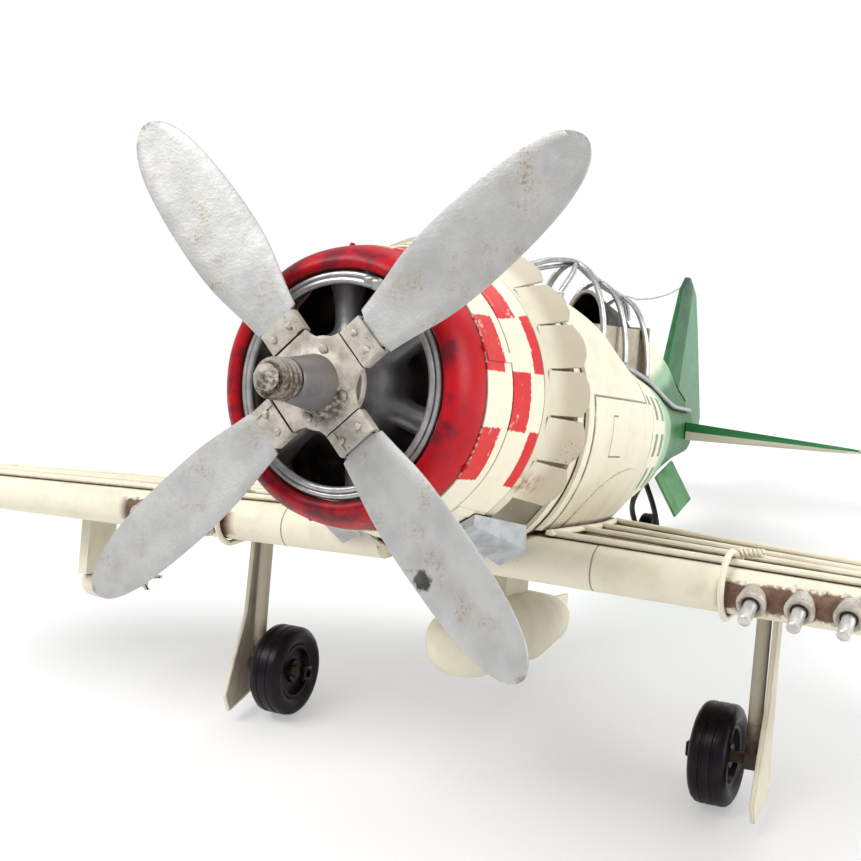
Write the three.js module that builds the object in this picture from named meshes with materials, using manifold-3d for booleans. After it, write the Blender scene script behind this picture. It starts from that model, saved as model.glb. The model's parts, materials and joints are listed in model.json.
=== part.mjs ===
// A hand-made sheet-metal model of a single-engined propeller plane, standing on its three wheels.
// Millimetres. Every piece is placed in the airframe's own frame: X to port, Y aft, Z up, with the
// origin at the middle of the propeller hub. One group then tips the whole airframe nose up, so that
// its three wheels stand on the plane Z = 0, and centres it over the origin.

import * as THREE from "three";
import { mergeVertices } from "three/addons/utils/BufferGeometryUtils.js";
import Module from "manifold-3d";

const wasm = await Module();
wasm.setup();

// ---------------------------------------------------------------- driving dimensions

const GAP = 0.3; // soldered and touching pieces are drawn this far apart
const SHEET = 0.8; // wall of the rolled and folded sheet-metal shells
const WIRE_RADIUS = 0.6; // the wire of the canopy cage
const RIB_WIRE_RADIUS = 0.7; // the heavier wire laid on the wings
const WIRE_SIDES = 5;

// Propeller
const PROPELLER_RADIUS = 58;
const BLADE_COUNT = 4;
const BLADE_HALF_WIDTH = 6.8;
const BLADE_THICKNESS = 0.6;
const BLADE_TWIST = THREE.MathUtils.degToRad(10);
const PROPELLER_REST_ANGLE = THREE.MathUtils.degToRad(46.6); // first blade, from straight up towards port
const HUB_ARM_LENGTH = 8.1;
const CLAMP_LENGTH = 4.1;
const CLAMP_HALF_WIDTH = 3.7;
const CLAMP_HALF_DEPTH = 1.3;
const HUB_CORE_RADIUS = 4.3;
const SHAFT_RADIUS = 1.5;
const SHAFT_HEAD_RADIUS = 2.1;
const SLEEVE_BASE_RADIUS = 4.6;
const SLEEVE_FRONT_RADIUS = 3.4;
const SLEEVE_LENGTH = 8.6;
const COIL_TURNS = 4;
const COIL_WIRE_RADIUS = 0.6;

// Cowling: stations along Y and radii of its outer face
const COWL_MOUTH_RADIUS = 19.4;
const COWL_FRONT_Y = 5.2;
const COWL_LIP_RADIUS = 24.1;
const COWL_LIP_END_Y = 12.5;
const COWL_SEAM_Y = 22;
const COWL_SEAM_RADIUS = 24.9;
const COWL_END_Y = 31;
const COWL_END_RADIUS = 27;
const MOUTH_RING_WIRE_RADIUS = 0.8;
const FLAP_PITCH = THREE.MathUtils.degToRad(17.1);
const FLAP_COUNT = 15;
const FLAP_LENGTH = 12;
const FLAP_FLARE = THREE.MathUtils.degToRad(19);
const FLAP_CORNER = 1.8;
const FLAP_THICKNESS = 0.6;

// Engine
const ENGINE_FRONT_Y = 3.2;
const ENGINE_DOME_RADIUS = 10;
const ENGINE_ARM_COUNT = 6;
const ENGINE_ARM_RADIUS = 3;
const FIREWALL_Y = 24;

// Fuselage: it starts behind the cowl flaps, is round at the front and tapers to a thin tail
const FUSELAGE_START_Y = 45;
const FUSELAGE_SEAM_Y = 101;
const FUSELAGE_END_Y = 218;
const FUSELAGE_HALF_WIDTH = 28.4;
const FUSELAGE_AXIS_Z = -3;
const STRAP_Y = 50;
const STRAP_WIDTH = 3;
const PANEL_TOP_Z = 2.5;

// Cockpit and canopy
const COCKPIT_START_Y = 80;
const COCKPIT_END_Y = 150;
const COCKPIT_HALF_WIDTH = 8.2;
const COCKPIT_FLOOR_Z = 0.5;
const HOOP_STATIONS = [111.5, 128.5, 147];
const HOOP_TOPS = [34.3, 31.8, 30];
const BULKHEAD_TOP_Z = 22.8;
const CHEEK_X = 5.4; // inner face of the cheeks on each side of the seat
const CHEEK_START_Y = 104;
const CHEEK_HOOP_CLEARANCE = 1.85; // from the cheeks' back corner up to the last hoop's axis
const HOOD_START_Y = 121;
const HOOD_END_Y = 145;
const HOOD_FRONT_TOP_Z = 29.3;
const HOOD_BACK_TOP_Z = 25.6;
const AERIAL_SAG = 1.8;

// Wings
const WING_TIP_X = 150;
const WING_ROUND = 18; // length of the rounded tip along X
const WING_LEADING_Y = 50; // axis of the rolled leading edge
const WING_LEADING_RADIUS = 4.5;
const WING_TIP_LEADING_RADIUS = 3.6;
const WING_TOP_Z = -24; // at the root
const WING_DROOP = 4; // how far the tip's top face lies below the root's
const WING_ROOT_TRAILING_Y = 122;
const WING_TIP_TRAILING_Y = 74;
const WING_EDGE = 1; // thickness of the trailing edge
const RIB_WIRE_CHORD_SHARES = [0, 0.27, 0.47, 0.73];
const BAND_X = { port: 57.5, starboard: -48 };
const GUN_FIRST_X = { port: 62.8, starboard: 51.4 };
const GUN_SPACING = 8.2;
const GUN_Z = -30.6;
const GUN_BARREL_RADIUS = 1.2;
const GUN_BARREL_REACH = 6; // out of the leading edge, along the barrel
const GUN_DROOP = THREE.MathUtils.degToRad(30); // the barrels point down out of the leading edge

// Main landing gear
const MAIN_WHEEL_X = 51;
const MAIN_WHEEL_Y = 82;
const MAIN_WHEEL_Z = -66;
const MAIN_WHEEL_RADIUS = 10.2;
const MAIN_WHEEL_WIDTH = 8;
const LEG_X = 58;
const LEG_Y = 80.5;
const LEG_RADIUS = 1.5;
const AXLE_RADIUS = 1.2;
const WHEEL_SEGMENTS = 24;

// Tail
const TAIL_WHEEL_Y = 190;
const TAIL_WHEEL_Z = -32.5;
const TAIL_WHEEL_RADIUS = 5.5;
const TAIL_WHEEL_WIDTH = 4;
const FIN_TOP_Z = 42.5;
const TAILPLANE_ROOT_X = 1.6;
const TAILPLANE_TIP_X = 52;

// Loads under the belly and the wings
const TANK_Z = -49.6;
const TANK_RADIUS = 8.2;
const TANK_NOSE_Y = 55;
const TANK_TAIL_Y = 127;
const BOMB_X = 92.5;
const BOMB_Z = -49.6;
const BOMB_RADIUS = 4;
const BOMB_NOSE_Y = 59;
const BOMB_TAIL_Y = 82;

// ---------------------------------------------------------------- colours

const paint = (color, roughness, metalness) =>
  new THREE.MeshStandardMaterial({ color, roughness, metalness });
const CREAM = paint(0xe9e2c4, 0.5, 0);
const RED = paint(0xb81420, 0.4, 0);
const GREEN = paint(0x1f7a3c, 0.5, 0);
const SILVER = paint(0xb4b3af, 0.5, 0.6);
const DIRTY_SILVER = paint(0xb3aa96, 0.6, 0.4);
const GUNMETAL = paint(0x6b6c6c, 0.45, 0.5);
const GREY = paint(0x8f9191, 0.5, 0.3);
const BLUE_GREY = paint(0xa9b3b8, 0.5, 0.3);
const BLACK = paint(0x14130f, 0.6, 0);
const TYRE_BLACK = paint(0x121014, 0.3, 0);

// ---------------------------------------------------------------- solids

const vec = (x, y, z) => new THREE.Vector3(x, y, z);

// Reverses the triangles of a closed mesh whose faces point inwards.
function facingOut(geometry) {
  const positions = geometry.attributes.position;
  const index = geometry.index.array;
  const corner = [vec(0, 0, 0), vec(0, 0, 0), vec(0, 0, 0)];
  let volume = 0;
  for (let i = 0; i < index.length; i += 3) {
    corner.forEach((v, j) => v.fromBufferAttribute(positions, index[i + j]));
    volume += corner[0].dot(corner[1].clone().cross(corner[2]));
  }
  if (volume < 0) {
    for (let i = 0; i < index.length; i += 3) {
      [index[i + 1], index[i + 2]] = [index[i + 2], index[i + 1]];
    }
  }
  return geometry;
}

// A closed three.js geometry as a solid that can be joined and cut.
function solid(geometry, matrix = new THREE.Matrix4()) {
  const bare = geometry.clone().applyMatrix4(matrix);
  bare.deleteAttribute("normal");
  bare.deleteAttribute("uv");
  const merged = facingOut(mergeVertices(bare, 1e-4));
  return new wasm.Manifold(
    new wasm.Mesh({
      numProp: 3,
      vertProperties: merged.attributes.position.array,
      triVerts: new Uint32Array(merged.index.array),
    }),
  );
}

function geometryOf(made) {
  const { vertProperties, triVerts } = made.getMesh();
  const geometry = new THREE.BufferGeometry();
  geometry.setAttribute("position", new THREE.BufferAttribute(vertProperties, 3));
  geometry.setIndex(new THREE.BufferAttribute(triVerts, 1));
  geometry.computeVertexNormals();
  return geometry;
}

const joined = (solids) => solids.reduce((a, b) => a.add(b));
const moved = (x, y, z) => new THREE.Matrix4().makeTranslation(x, y, z);
const turnedY = (angle) => new THREE.Matrix4().makeRotationY(angle);

// A skin over closed sections of equal length, each a list of points, with flat ends.
function loft(sections) {
  const sides = sections[0].length;
  const last = (sections.length - 1) * sides;
  const index = [];
  for (let s = 0; s < last; s += sides) {
    for (let i = 0; i < sides; i++) {
      const next = (i + 1) % sides;
      index.push(s + i, s + next, s + sides + next);
      index.push(s + i, s + sides + next, s + sides + i);
    }
  }
  for (let i = 1; i + 1 < sides; i++) {
    index.push(0, i + 1, i);
    index.push(last, last + i, last + i + 1);
  }
  const geometry = new THREE.BufferGeometry();
  const positions = sections.flat().flatMap((point) => point.toArray());
  geometry.setAttribute("position", new THREE.Float32BufferAttribute(positions, 3));
  geometry.setIndex(index);
  return solid(geometry);
}

// A body of revolution about the fore-and-aft axis, from [radius, y] pairs.
function turned(profile, segments = 36) {
  const points = profile.map(([radius, y]) => new THREE.Vector2(radius, y));
  return solid(new THREE.LatheGeometry(points, segments));
}

// A thin turned shell whose outer face runs through the [radius, y] pairs.
function turnedShell(outer, wall, segments = 36) {
  const inner = outer.map(([radius, y]) => [radius - wall, y]).reverse();
  return turned([...outer, ...inner, outer[0]], segments);
}

function extrudedAlong(points, outline, steps) {
  const section = new THREE.Shape(outline.map(([u, v]) => new THREE.Vector2(u, v)));
  const path = new THREE.CatmullRomCurve3(points, false, "centripetal");
  return solid(new THREE.ExtrudeGeometry(section, { extrudePath: path, steps, curveSegments: 1 }));
}

// A round wire along a smooth curve through the points.
function wire(points, radius, steps, sides = WIRE_SIDES) {
  const outline = [];
  for (let i = 0; i < sides; i++) {
    const angle = (i * 2 * Math.PI) / sides;
    outline.push([radius * Math.cos(angle), radius * Math.sin(angle)]);
  }
  return extrudedAlong(points, outline, steps);
}

// Two wires soldered side by side, across the plane that the curve lies in.
function wirePair(points, radius, steps) {
  const outline = [
    [1.9, 0],
    [1.1, 1],
    [-1.1, 1],
    [-1.9, 0],
    [-1.1, -1],
    [1.1, -1],
  ].map(([u, v]) => [u * radius, v * radius]);
  return extrudedAlong(points, outline, steps);
}

// A flat plate with the given outline in the Y-Z plane, from x = from to x = to.
function sidePlate(outline, from, to) {
  const shape = new THREE.Shape(outline.map(([y, z]) => new THREE.Vector2(y, z)));
  const plate = new THREE.ExtrudeGeometry(shape, { depth: Math.abs(to - from), bevelEnabled: false });
  const upright = new THREE.Matrix4().makeBasis(vec(0, 1, 0), vec(0, 0, 1), vec(1, 0, 0));
  return solid(plate, moved(Math.min(from, to), 0, 0).multiply(upright));
}

const block = (min, max) => {
  const size = max.clone().sub(min);
  const middle = min.clone().add(max).multiplyScalar(0.5);
  const box = new THREE.BoxGeometry(size.x, size.y, size.z);
  return solid(box, moved(middle.x, middle.y, middle.z));
};

// Straight-line reading of a table of [station, value] pairs.
function reading(table, at) {
  let i = 1;
  while (i < table.length - 1 && table[i][0] < at) i++;
  const [[a, u], [b, v]] = [table[i - 1], table[i]];
  return THREE.MathUtils.mapLinear(THREE.MathUtils.clamp(at, a, b), a, b, u, v);
}

const airframe = new THREE.Group();

function add(name, made, material, group = airframe) {
  const mesh = new THREE.Mesh(geometryOf(made), material);
  mesh.name = name;
  group.add(mesh);
}

// The two sides, with the sign of X on each.
const SIDES = [
  ["port", 1],
  ["starboard", -1],
];

// ---------------------------------------------------------------- propeller

const HUB_FRONT_Y = -CLAMP_HALF_DEPTH;
const SLOT_HALF_DEPTH = BLADE_THICKNESS / 2 + GAP;
const CLAMP_START = HUB_ARM_LENGTH + GAP;
const CLAMP_END = CLAMP_START + CLAMP_LENGTH;
const TONGUE_HALF_WIDTH = CLAMP_HALF_WIDTH - 0.6 - GAP;
const HUB_BACK_Y = CLAMP_HALF_DEPTH + 0.6;
const SLEEVE_BACK_Y = HUB_FRONT_Y - GAP;
const SLEEVE_FRONT_Y = SLEEVE_BACK_Y - SLEEVE_LENGTH;
const COIL_LENGTH = COIL_TURNS * 2 * COIL_WIRE_RADIUS;
const COIL_BACK_Y = SLEEVE_FRONT_Y - GAP;
const NOSE_Y = COIL_BACK_Y - COIL_LENGTH;
const BORE_RADIUS = SHAFT_RADIUS + GAP;

// Shares of the propeller radius and of the blade's greatest half width, root to tip.
const BLADE_OUTLINE = [
  [0.222, 0.59],
  [0.3, 0.74],
  [0.42, 0.93],
  [0.55, 1],
  [0.7, 0.97],
  [0.83, 0.86],
  [0.92, 0.67],
  [0.97, 0.44],
  [0.993, 0.2],
  [1, 0.05],
];

// One blade standing straight up: a flat tongue inside its clamp, then the twisted leaf.
function blade() {
  const half = BLADE_THICKNESS / 2;
  const section = (radius, halfWidth, twist) => {
    const across = vec(Math.cos(twist), Math.sin(twist), 0);
    const through = vec(-Math.sin(twist), Math.cos(twist), 0);
    const corner = (u, v) => across.clone().multiplyScalar(u).addScaledVector(through, v).setZ(radius);
    return [
      corner(-halfWidth, -half),
      corner(halfWidth, -half),
      corner(halfWidth, half),
      corner(-halfWidth, half),
    ];
  };
  const shoulder = CLAMP_END + GAP;
  const sections = [
    section(HUB_CORE_RADIUS + GAP, TONGUE_HALF_WIDTH, 0),
    section(shoulder - 0.01, TONGUE_HALF_WIDTH, 0),
  ];
  for (const [radiusShare, widthShare] of BLADE_OUTLINE) {
    const radius = Math.max(radiusShare * PROPELLER_RADIUS, shoulder);
    const twist = BLADE_TWIST * THREE.MathUtils.smoothstep(radiusShare, 0.222, 0.5);
    sections.push(section(radius, widthShare * BLADE_HALF_WIDTH, twist));
  }
  return loft(sections);
}

// The folded sleeve that grips a blade's tongue, with two rivet heads on its front.
function bladeClamp() {
  const outer = block(
    vec(-CLAMP_HALF_WIDTH, -CLAMP_HALF_DEPTH, CLAMP_START),
    vec(CLAMP_HALF_WIDTH, CLAMP_HALF_DEPTH, CLAMP_END),
  );
  const slotHalfWidth = TONGUE_HALF_WIDTH + GAP;
  const slot = block(
    vec(-slotHalfWidth, -SLOT_HALF_DEPTH, CLAMP_START - 1),
    vec(slotHalfWidth, SLOT_HALF_DEPTH, CLAMP_END + 1),
  );
  const rivets = [-1, 1].map((side) =>
    solid(
      new THREE.SphereGeometry(0.55, 8, 6),
      moved(side * 0.5 * CLAMP_HALF_WIDTH, -CLAMP_HALF_DEPTH, (CLAMP_START + CLAMP_END) / 2),
    ),
  );
  return joined([outer.subtract(slot), ...rivets]);
}

// The four-armed front plate, the core the shaft runs through, and the round backing plate.
function propellerHub() {
  const arms = new THREE.Shape();
  for (let arm = 0; arm < BLADE_COUNT; arm++) {
    const angle = (arm * 2 * Math.PI) / BLADE_COUNT;
    const place = (u, v) => [
      u * Math.cos(angle) - v * Math.sin(angle),
      u * Math.sin(angle) + v * Math.cos(angle),
    ];
    const waist = place(0.57 * HUB_ARM_LENGTH, -0.57 * HUB_ARM_LENGTH);
    const right = place(HUB_ARM_LENGTH, -CLAMP_HALF_WIDTH);
    const left = place(HUB_ARM_LENGTH, CLAMP_HALF_WIDTH);
    if (arm === 0) arms.moveTo(...right);
    else arms.quadraticCurveTo(...waist, ...right);
    arms.lineTo(...left);
  }
  arms.quadraticCurveTo(0.57 * HUB_ARM_LENGTH, -0.57 * HUB_ARM_LENGTH, HUB_ARM_LENGTH, -CLAMP_HALF_WIDTH);
  const plateDepth = CLAMP_HALF_DEPTH - SLOT_HALF_DEPTH;
  const front = solid(
    new THREE.ExtrudeGeometry(arms, { depth: plateDepth, bevelEnabled: false, curveSegments: 5 }),
    moved(0, -SLOT_HALF_DEPTH, 0).multiply(new THREE.Matrix4().makeRotationX(Math.PI / 2)),
  );
  const coreAndBack = turned(
    [
      [BORE_RADIUS, HUB_FRONT_Y],
      [HUB_CORE_RADIUS, HUB_FRONT_Y],
      [HUB_CORE_RADIUS, SLOT_HALF_DEPTH],
      [HUB_ARM_LENGTH - GAP, SLOT_HALF_DEPTH],
      [HUB_ARM_LENGTH - GAP, HUB_BACK_Y],
      [BORE_RADIUS, HUB_BACK_Y],
      [BORE_RADIUS, HUB_FRONT_Y],
    ],
    32,
  );
  const bore = turned([[0, -9], [BORE_RADIUS, -9], [BORE_RADIUS, 9], [0, 9]], 32);
  return joined([front.subtract(bore), coreAndBack]);
}

function noseSleeve() {
  return turned(
    [
      [BORE_RADIUS, SLEEVE_BACK_Y],
      [SLEEVE_BASE_RADIUS, SLEEVE_BACK_Y],
      [SLEEVE_BASE_RADIUS, SLEEVE_BACK_Y - 1],
      [SLEEVE_FRONT_RADIUS, SLEEVE_FRONT_Y],
      [BORE_RADIUS, SLEEVE_FRONT_Y],
      [BORE_RADIUS, SLEEVE_BACK_Y],
    ],
    28,
  );
}

// Turns of wire wound tight on the shaft in front of the sleeve.
function noseCoil() {
  const profile = [[BORE_RADIUS, COIL_BACK_Y]];
  const crest = SLEEVE_FRONT_RADIUS + 0.1;
  for (let turn = 0; turn < COIL_TURNS; turn++) {
    for (const share of [0.1, 0.5, 0.9]) {
      const y = COIL_BACK_Y - (turn + share) * 2 * COIL_WIRE_RADIUS;
      profile.push([crest - (share === 0.5 ? 0 : 0.45) - 0.08 * turn, y]);
    }
  }
  profile.push([BORE_RADIUS, NOSE_Y]);
  profile.push([BORE_RADIUS, COIL_BACK_Y]);
  return turned(profile, 18);
}

// The shaft, with its rounded head ahead of the coil and a collar behind its bearing.
function propellerShaft() {
  const head = NOSE_Y - GAP;
  const collar = FIREWALL_Y - 4;
  return turned(
    [
      [0, head - 1.5],
      [0.65 * SHAFT_HEAD_RADIUS, head - 1.3],
      [SHAFT_HEAD_RADIUS, head - 0.6],
      [SHAFT_HEAD_RADIUS, head],
      [SHAFT_RADIUS, head],
      [SHAFT_RADIUS, collar],
      [SHAFT_HEAD_RADIUS, collar],
      [SHAFT_HEAD_RADIUS, collar + 1.5],
      [0, collar + 1.5],
    ],
    20,
  );
}

function makePropeller() {
  const turn = (index) => PROPELLER_REST_ANGLE + (index * 2 * Math.PI) / BLADE_COUNT;
  const bladeGeometry = geometryOf(blade());
  const clampGeometry = geometryOf(bladeClamp());
  for (let i = 0; i < BLADE_COUNT; i++) {
    add(`propeller_blade_${i + 1}`, solid(bladeGeometry, turnedY(turn(i))), SILVER);
    add(`blade_clamp_${i + 1}`, solid(clampGeometry, turnedY(turn(i))), DIRTY_SILVER);
  }
  const hubGeometry = geometryOf(propellerHub());
  add("propeller_hub", solid(hubGeometry, turnedY(PROPELLER_REST_ANGLE)), DIRTY_SILVER);
  add("nose_sleeve", noseSleeve(), GREY);
  add("nose_coil", noseCoil(), DIRTY_SILVER);
  add("propeller_shaft", propellerShaft(), DIRTY_SILVER);
}

// ---------------------------------------------------------------- engine and cowling

const cowlRadius = (y) =>
  reading(
    [
      [COWL_LIP_END_Y, COWL_LIP_RADIUS + 0.3],
      [COWL_SEAM_Y, COWL_SEAM_RADIUS],
      [COWL_END_Y, COWL_END_RADIUS],
    ],
    y,
  );

const LIP_STEPS = 5;

// The rolled red lip: its outer face, and the same face one sheet thickness inside.
function cowlLip() {
  const depth = COWL_LIP_END_Y - COWL_FRONT_Y;
  const width = COWL_LIP_RADIUS - COWL_MOUTH_RADIUS;
  const face = (inset) => {
    const points = [];
    for (let step = 0; step <= LIP_STEPS; step++) {
      const angle = (step / LIP_STEPS) * 0.5 * Math.PI;
      points.push([
        COWL_LIP_RADIUS - inset - (width - inset) * 0.85 * (1 - Math.sin(angle)),
        COWL_LIP_END_Y - (depth - inset) * Math.cos(angle),
      ]);
    }
    return points;
  };
  const roll = [
    [COWL_MOUTH_RADIUS, COWL_FRONT_Y + 2.6],
    [COWL_MOUTH_RADIUS, COWL_FRONT_Y + 0.6],
  ];
  const outer = face(0);
  const inner = face(SHEET).reverse();
  return turned([...roll, ...outer, ...inner, roll[0]]);
}

// The double ring of silver wire soldered inside the lip's mouth.
function mouthRing() {
  const profile = [];
  const sides = 6;
  for (let i = 0; i <= sides; i++) {
    const angle = (i * 2 * Math.PI) / sides;
    const stretch = 1 + 0.35 * Math.abs(Math.cos(angle));
    profile.push([
      COWL_MOUTH_RADIUS - GAP - 1.4 * MOUTH_RING_WIRE_RADIUS + MOUTH_RING_WIRE_RADIUS * stretch * Math.cos(angle),
      COWL_FRONT_Y + 1.2 + MOUTH_RING_WIRE_RADIUS * Math.sin(angle),
    ]);
  }
  return turned(profile);
}

const cowlBand = (from, to) =>
  turnedShell(
    [
      [cowlRadius(from), from],
      [cowlRadius(to), to],
    ],
    SHEET,
  );

// A collar on the cowl's rear edge that carries one flat flared petal per pitch, and none underneath.
function cowlFlapRing() {
  const start = COWL_END_Y + GAP;
  const collar = turnedShell(
    [
      [COWL_END_RADIUS + 0.1, start],
      [COWL_END_RADIUS + 0.5, start + 2.6],
    ],
    SHEET,
  );
  const rootHalf = (COWL_END_RADIUS + 0.4) * Math.tan(FLAP_PITCH / 2) - 0.25;
  const tipHalf = rootHalf + 0.15;
  const petal = new THREE.Shape();
  petal.moveTo(-rootHalf, 0);
  petal.lineTo(-tipHalf, FLAP_LENGTH - FLAP_CORNER);
  petal.lineTo(-tipHalf + FLAP_CORNER, FLAP_LENGTH);
  petal.lineTo(tipHalf - FLAP_CORNER, FLAP_LENGTH);
  petal.lineTo(tipHalf, FLAP_LENGTH - FLAP_CORNER);
  petal.lineTo(rootHalf, 0);
  const flat = new THREE.ExtrudeGeometry(petal, { depth: FLAP_THICKNESS, bevelEnabled: false });
  const hinge = moved(0, start + 1.6, COWL_END_RADIUS - 0.35);
  const flared = hinge.multiply(new THREE.Matrix4().makeRotationX(FLAP_FLARE));
  const petals = [];
  for (let i = 0; i < FLAP_COUNT; i++) {
    const around = (i - (FLAP_COUNT - 1) / 2) * FLAP_PITCH;
    petals.push(solid(flat, turnedY(around).multiply(flared)));
  }
  return joined([collar, ...petals]);
}

// The moulded crankcase with its radiating arms, bored for the propeller shaft.
function engineCasting() {
  const back = FIREWALL_Y - GAP;
  const dome = turned(
    [
      [0, ENGINE_FRONT_Y],
      [3.6, ENGINE_FRONT_Y],
      [4.2, ENGINE_FRONT_Y + 1.2],
      [0.72 * ENGINE_DOME_RADIUS, ENGINE_FRONT_Y + 3],
      [0.92 * ENGINE_DOME_RADIUS, ENGINE_FRONT_Y + 5.5],
      [ENGINE_DOME_RADIUS, ENGINE_FRONT_Y + 9],
      [ENGINE_DOME_RADIUS, back - 4],
      [ENGINE_DOME_RADIUS + 3, back],
      [0, back],
    ],
    28,
  );
  const armStart = vec(0, ENGINE_FRONT_Y + 7.5, 4);
  const armEnd = vec(0, COWL_LIP_END_Y - 0.5, COWL_LIP_RADIUS - SHEET - GAP - 1.4);
  const length = armEnd.distanceTo(armStart);
  const along = armEnd.clone().sub(armStart).normalize();
  const arm = new THREE.CylinderGeometry(0.8 * ENGINE_ARM_RADIUS, ENGINE_ARM_RADIUS, length, 9);
  const lean = new THREE.Matrix4().makeRotationFromQuaternion(
    new THREE.Quaternion().setFromUnitVectors(vec(0, 1, 0), along),
  );
  const middle = armStart.clone().add(armEnd).multiplyScalar(0.5);
  const placed = moved(middle.x, middle.y, middle.z).multiply(lean);
  const arms = [];
  for (let i = 0; i < ENGINE_ARM_COUNT; i++) {
    const angle = THREE.MathUtils.degToRad(50) + (i * 2 * Math.PI) / ENGINE_ARM_COUNT;
    arms.push(solid(arm, turnedY(angle).multiply(placed)));
  }
  const bore = turned([[0, 0], [BORE_RADIUS, 0], [BORE_RADIUS, 18], [3.2, 18], [3.2, back + 1], [0, back + 1]], 20);
  return joined([dome, ...arms]).subtract(bore);
}

// The firewall inside the cowling, and the cone and flange that tie it to the front of the fuselage.
function engineMount() {
  const rim = cowlRadius(FIREWALL_Y) - SHEET - GAP;
  const neck = 0.72 * rim;
  const flangeBack = FUSELAGE_START_Y + 2;
  const flangeFront = flangeBack - SHEET;
  const cone = turned(
    [
      [0, FIREWALL_Y],
      [rim, FIREWALL_Y],
      [rim, FIREWALL_Y + SHEET],
      [neck, FIREWALL_Y + SHEET],
      [neck + 3, flangeBack],
      [neck + 3 - SHEET, flangeBack],
      [neck - SHEET, FIREWALL_Y + 2 * SHEET],
      [0, FIREWALL_Y + 2 * SHEET],
    ],
    32,
  );
  const mouth = turned([[0, flangeFront - 1], [neck + 2, flangeFront - 1], [neck + 2, 60], [0, 60]], 32);
  return joined([cone, fuselageBody(flangeFront, flangeBack, -SHEET - GAP).subtract(mouth)]);
}

// A flattened, flared exhaust outlet low on the cowling's side, open to the rear.
function exhaustOutlet(side) {
  const mouth = (y, reach, halfWidth, height, inset) => {
    const angle = THREE.MathUtils.degToRad(-56);
    const out = vec(Math.cos(angle), 0, Math.sin(angle));
    const across = vec(Math.sin(angle), 0, -Math.cos(angle));
    const point = (u, v) => {
      const p = out.clone().multiplyScalar(reach + v).addScaledVector(across, u);
      return vec(side * p.x, y, p.z);
    };
    const [w, low, high] = [halfWidth - inset, inset, height - inset];
    return [point(-w, low), point(w, low), point(0.6 * w, high), point(-0.6 * w, high)];
  };
  const start = COWL_END_Y - 3.5;
  const end = FUSELAGE_START_Y - 2.5;
  const near = cowlRadius(start) + GAP;
  const outer = loft([mouth(start, near, 3.2, 1.6, 0), mouth(end, near + 3.8, 5.2, 4.2, 0)]);
  const inner = loft([
    mouth(start + 5, near + 1.5, 3.9, 2.4, 0.5),
    mouth(end + 0.5, near + 3.9, 5.2, 4.2, 0.6),
  ]);
  return outer.subtract(inner);
}

function makeFront() {
  add("cowl_lip", cowlLip(), RED);
  add("cowl_mouth_ring", mouthRing(), SILVER);
  add("cowl_front_band", cowlBand(COWL_LIP_END_Y + GAP, COWL_SEAM_Y - GAP / 2), CREAM);
  add("cowl_rear_band", cowlBand(COWL_SEAM_Y + GAP / 2, COWL_END_Y), CREAM);
  add("cowl_flap_ring", cowlFlapRing(), CREAM);
  add("engine_casting", engineCasting(), GUNMETAL);
  add("engine_mount", engineMount(), GREY);
  for (const [name, side] of SIDES) {
    add(`exhaust_outlet_${name}`, exhaustOutlet(side), BLUE_GREY);
  }
}

// ---------------------------------------------------------------- fuselage

// Shares of the fuselage's length between its front and its tail, and the shape there: half width
// as a share of the greatest, and the heights of the top line and the belly.
const FUSELAGE_SHAPE = [
  { at: 0, half: 1, top: 26.2, belly: -32.2 },
  { at: 0.09, half: 0.99, top: 26, belly: -32 },
  { at: 0.2, half: 0.97, top: 24.2, belly: -31.4 },
  { at: 0.27, half: 0.925, top: 19.2, belly: -30.4 },
  { at: 0.37, half: 0.825, top: 14.6, belly: -28.4 },
  { at: 0.48, half: 0.7, top: 12.4, belly: -26 },
  { at: 0.6, half: 0.545, top: 10.4, belly: -22.8 },
  { at: 0.7, half: 0.385, top: 7.8, belly: -19.2 },
  { at: 0.8, half: 0.245, top: 5.8, belly: -15.4 },
  { at: 0.9, half: 0.155, top: 4.8, belly: -11.6 },
  { at: 1, half: 0.085, top: 4.4, belly: -9 },
];
const FUSELAGE_LENGTH = FUSELAGE_END_Y - FUSELAGE_START_Y;
const SECTION_SIDES = 24;

function fuselageAt(y) {
  const share = (y - FUSELAGE_START_Y) / FUSELAGE_LENGTH;
  const read = (key) => reading(FUSELAGE_SHAPE.map((row) => [row.at, row[key]]), share);
  return { half: read("half") * FUSELAGE_HALF_WIDTH, top: read("top"), belly: read("belly") };
}

// The outline of the fuselage at a station, grown outwards (or, when negative, inwards).
function fuselageSection(y, grow) {
  const { half, top, belly } = fuselageAt(y);
  const points = [];
  for (let i = 0; i < SECTION_SIDES; i++) {
    const angle = (i * 2 * Math.PI) / SECTION_SIDES;
    const up = Math.sin(angle);
    const height = up > 0 ? top - FUSELAGE_AXIS_Z : FUSELAGE_AXIS_Z - belly;
    points.push(
      vec(
        Math.max(half + grow, 0.4) * Math.cos(angle),
        y,
        FUSELAGE_AXIS_Z + Math.max(height + grow, 0.4) * up,
      ),
    );
  }
  return points;
}

function fuselageBody(from, to, grow) {
  const stations = FUSELAGE_SHAPE.map((row) => FUSELAGE_START_Y + row.at * FUSELAGE_LENGTH);
  const between = stations.filter((y) => y > from + 1 && y < to - 1);
  return loft([from, ...between, to].map((y) => fuselageSection(y, grow)));
}

// Height of the fuselage's upper face above a point of its plan.
function fuselageTopZ(x, y) {
  const { half, top } = fuselageAt(y);
  const share = Math.min(Math.abs(x) / half, 0.999);
  return FUSELAGE_AXIS_Z + (top - FUSELAGE_AXIS_Z) * Math.sqrt(1 - share * share);
}

// Half width of the fuselage, grown outwards, at a height below its axis.
function fuselageSideX(y, z, grow) {
  const { half, belly } = fuselageAt(y);
  const share = Math.min((FUSELAGE_AXIS_Z - z) / (FUSELAGE_AXIS_Z - belly + grow), 0.999);
  return (half + grow) * Math.sqrt(1 - share * share);
}

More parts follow.
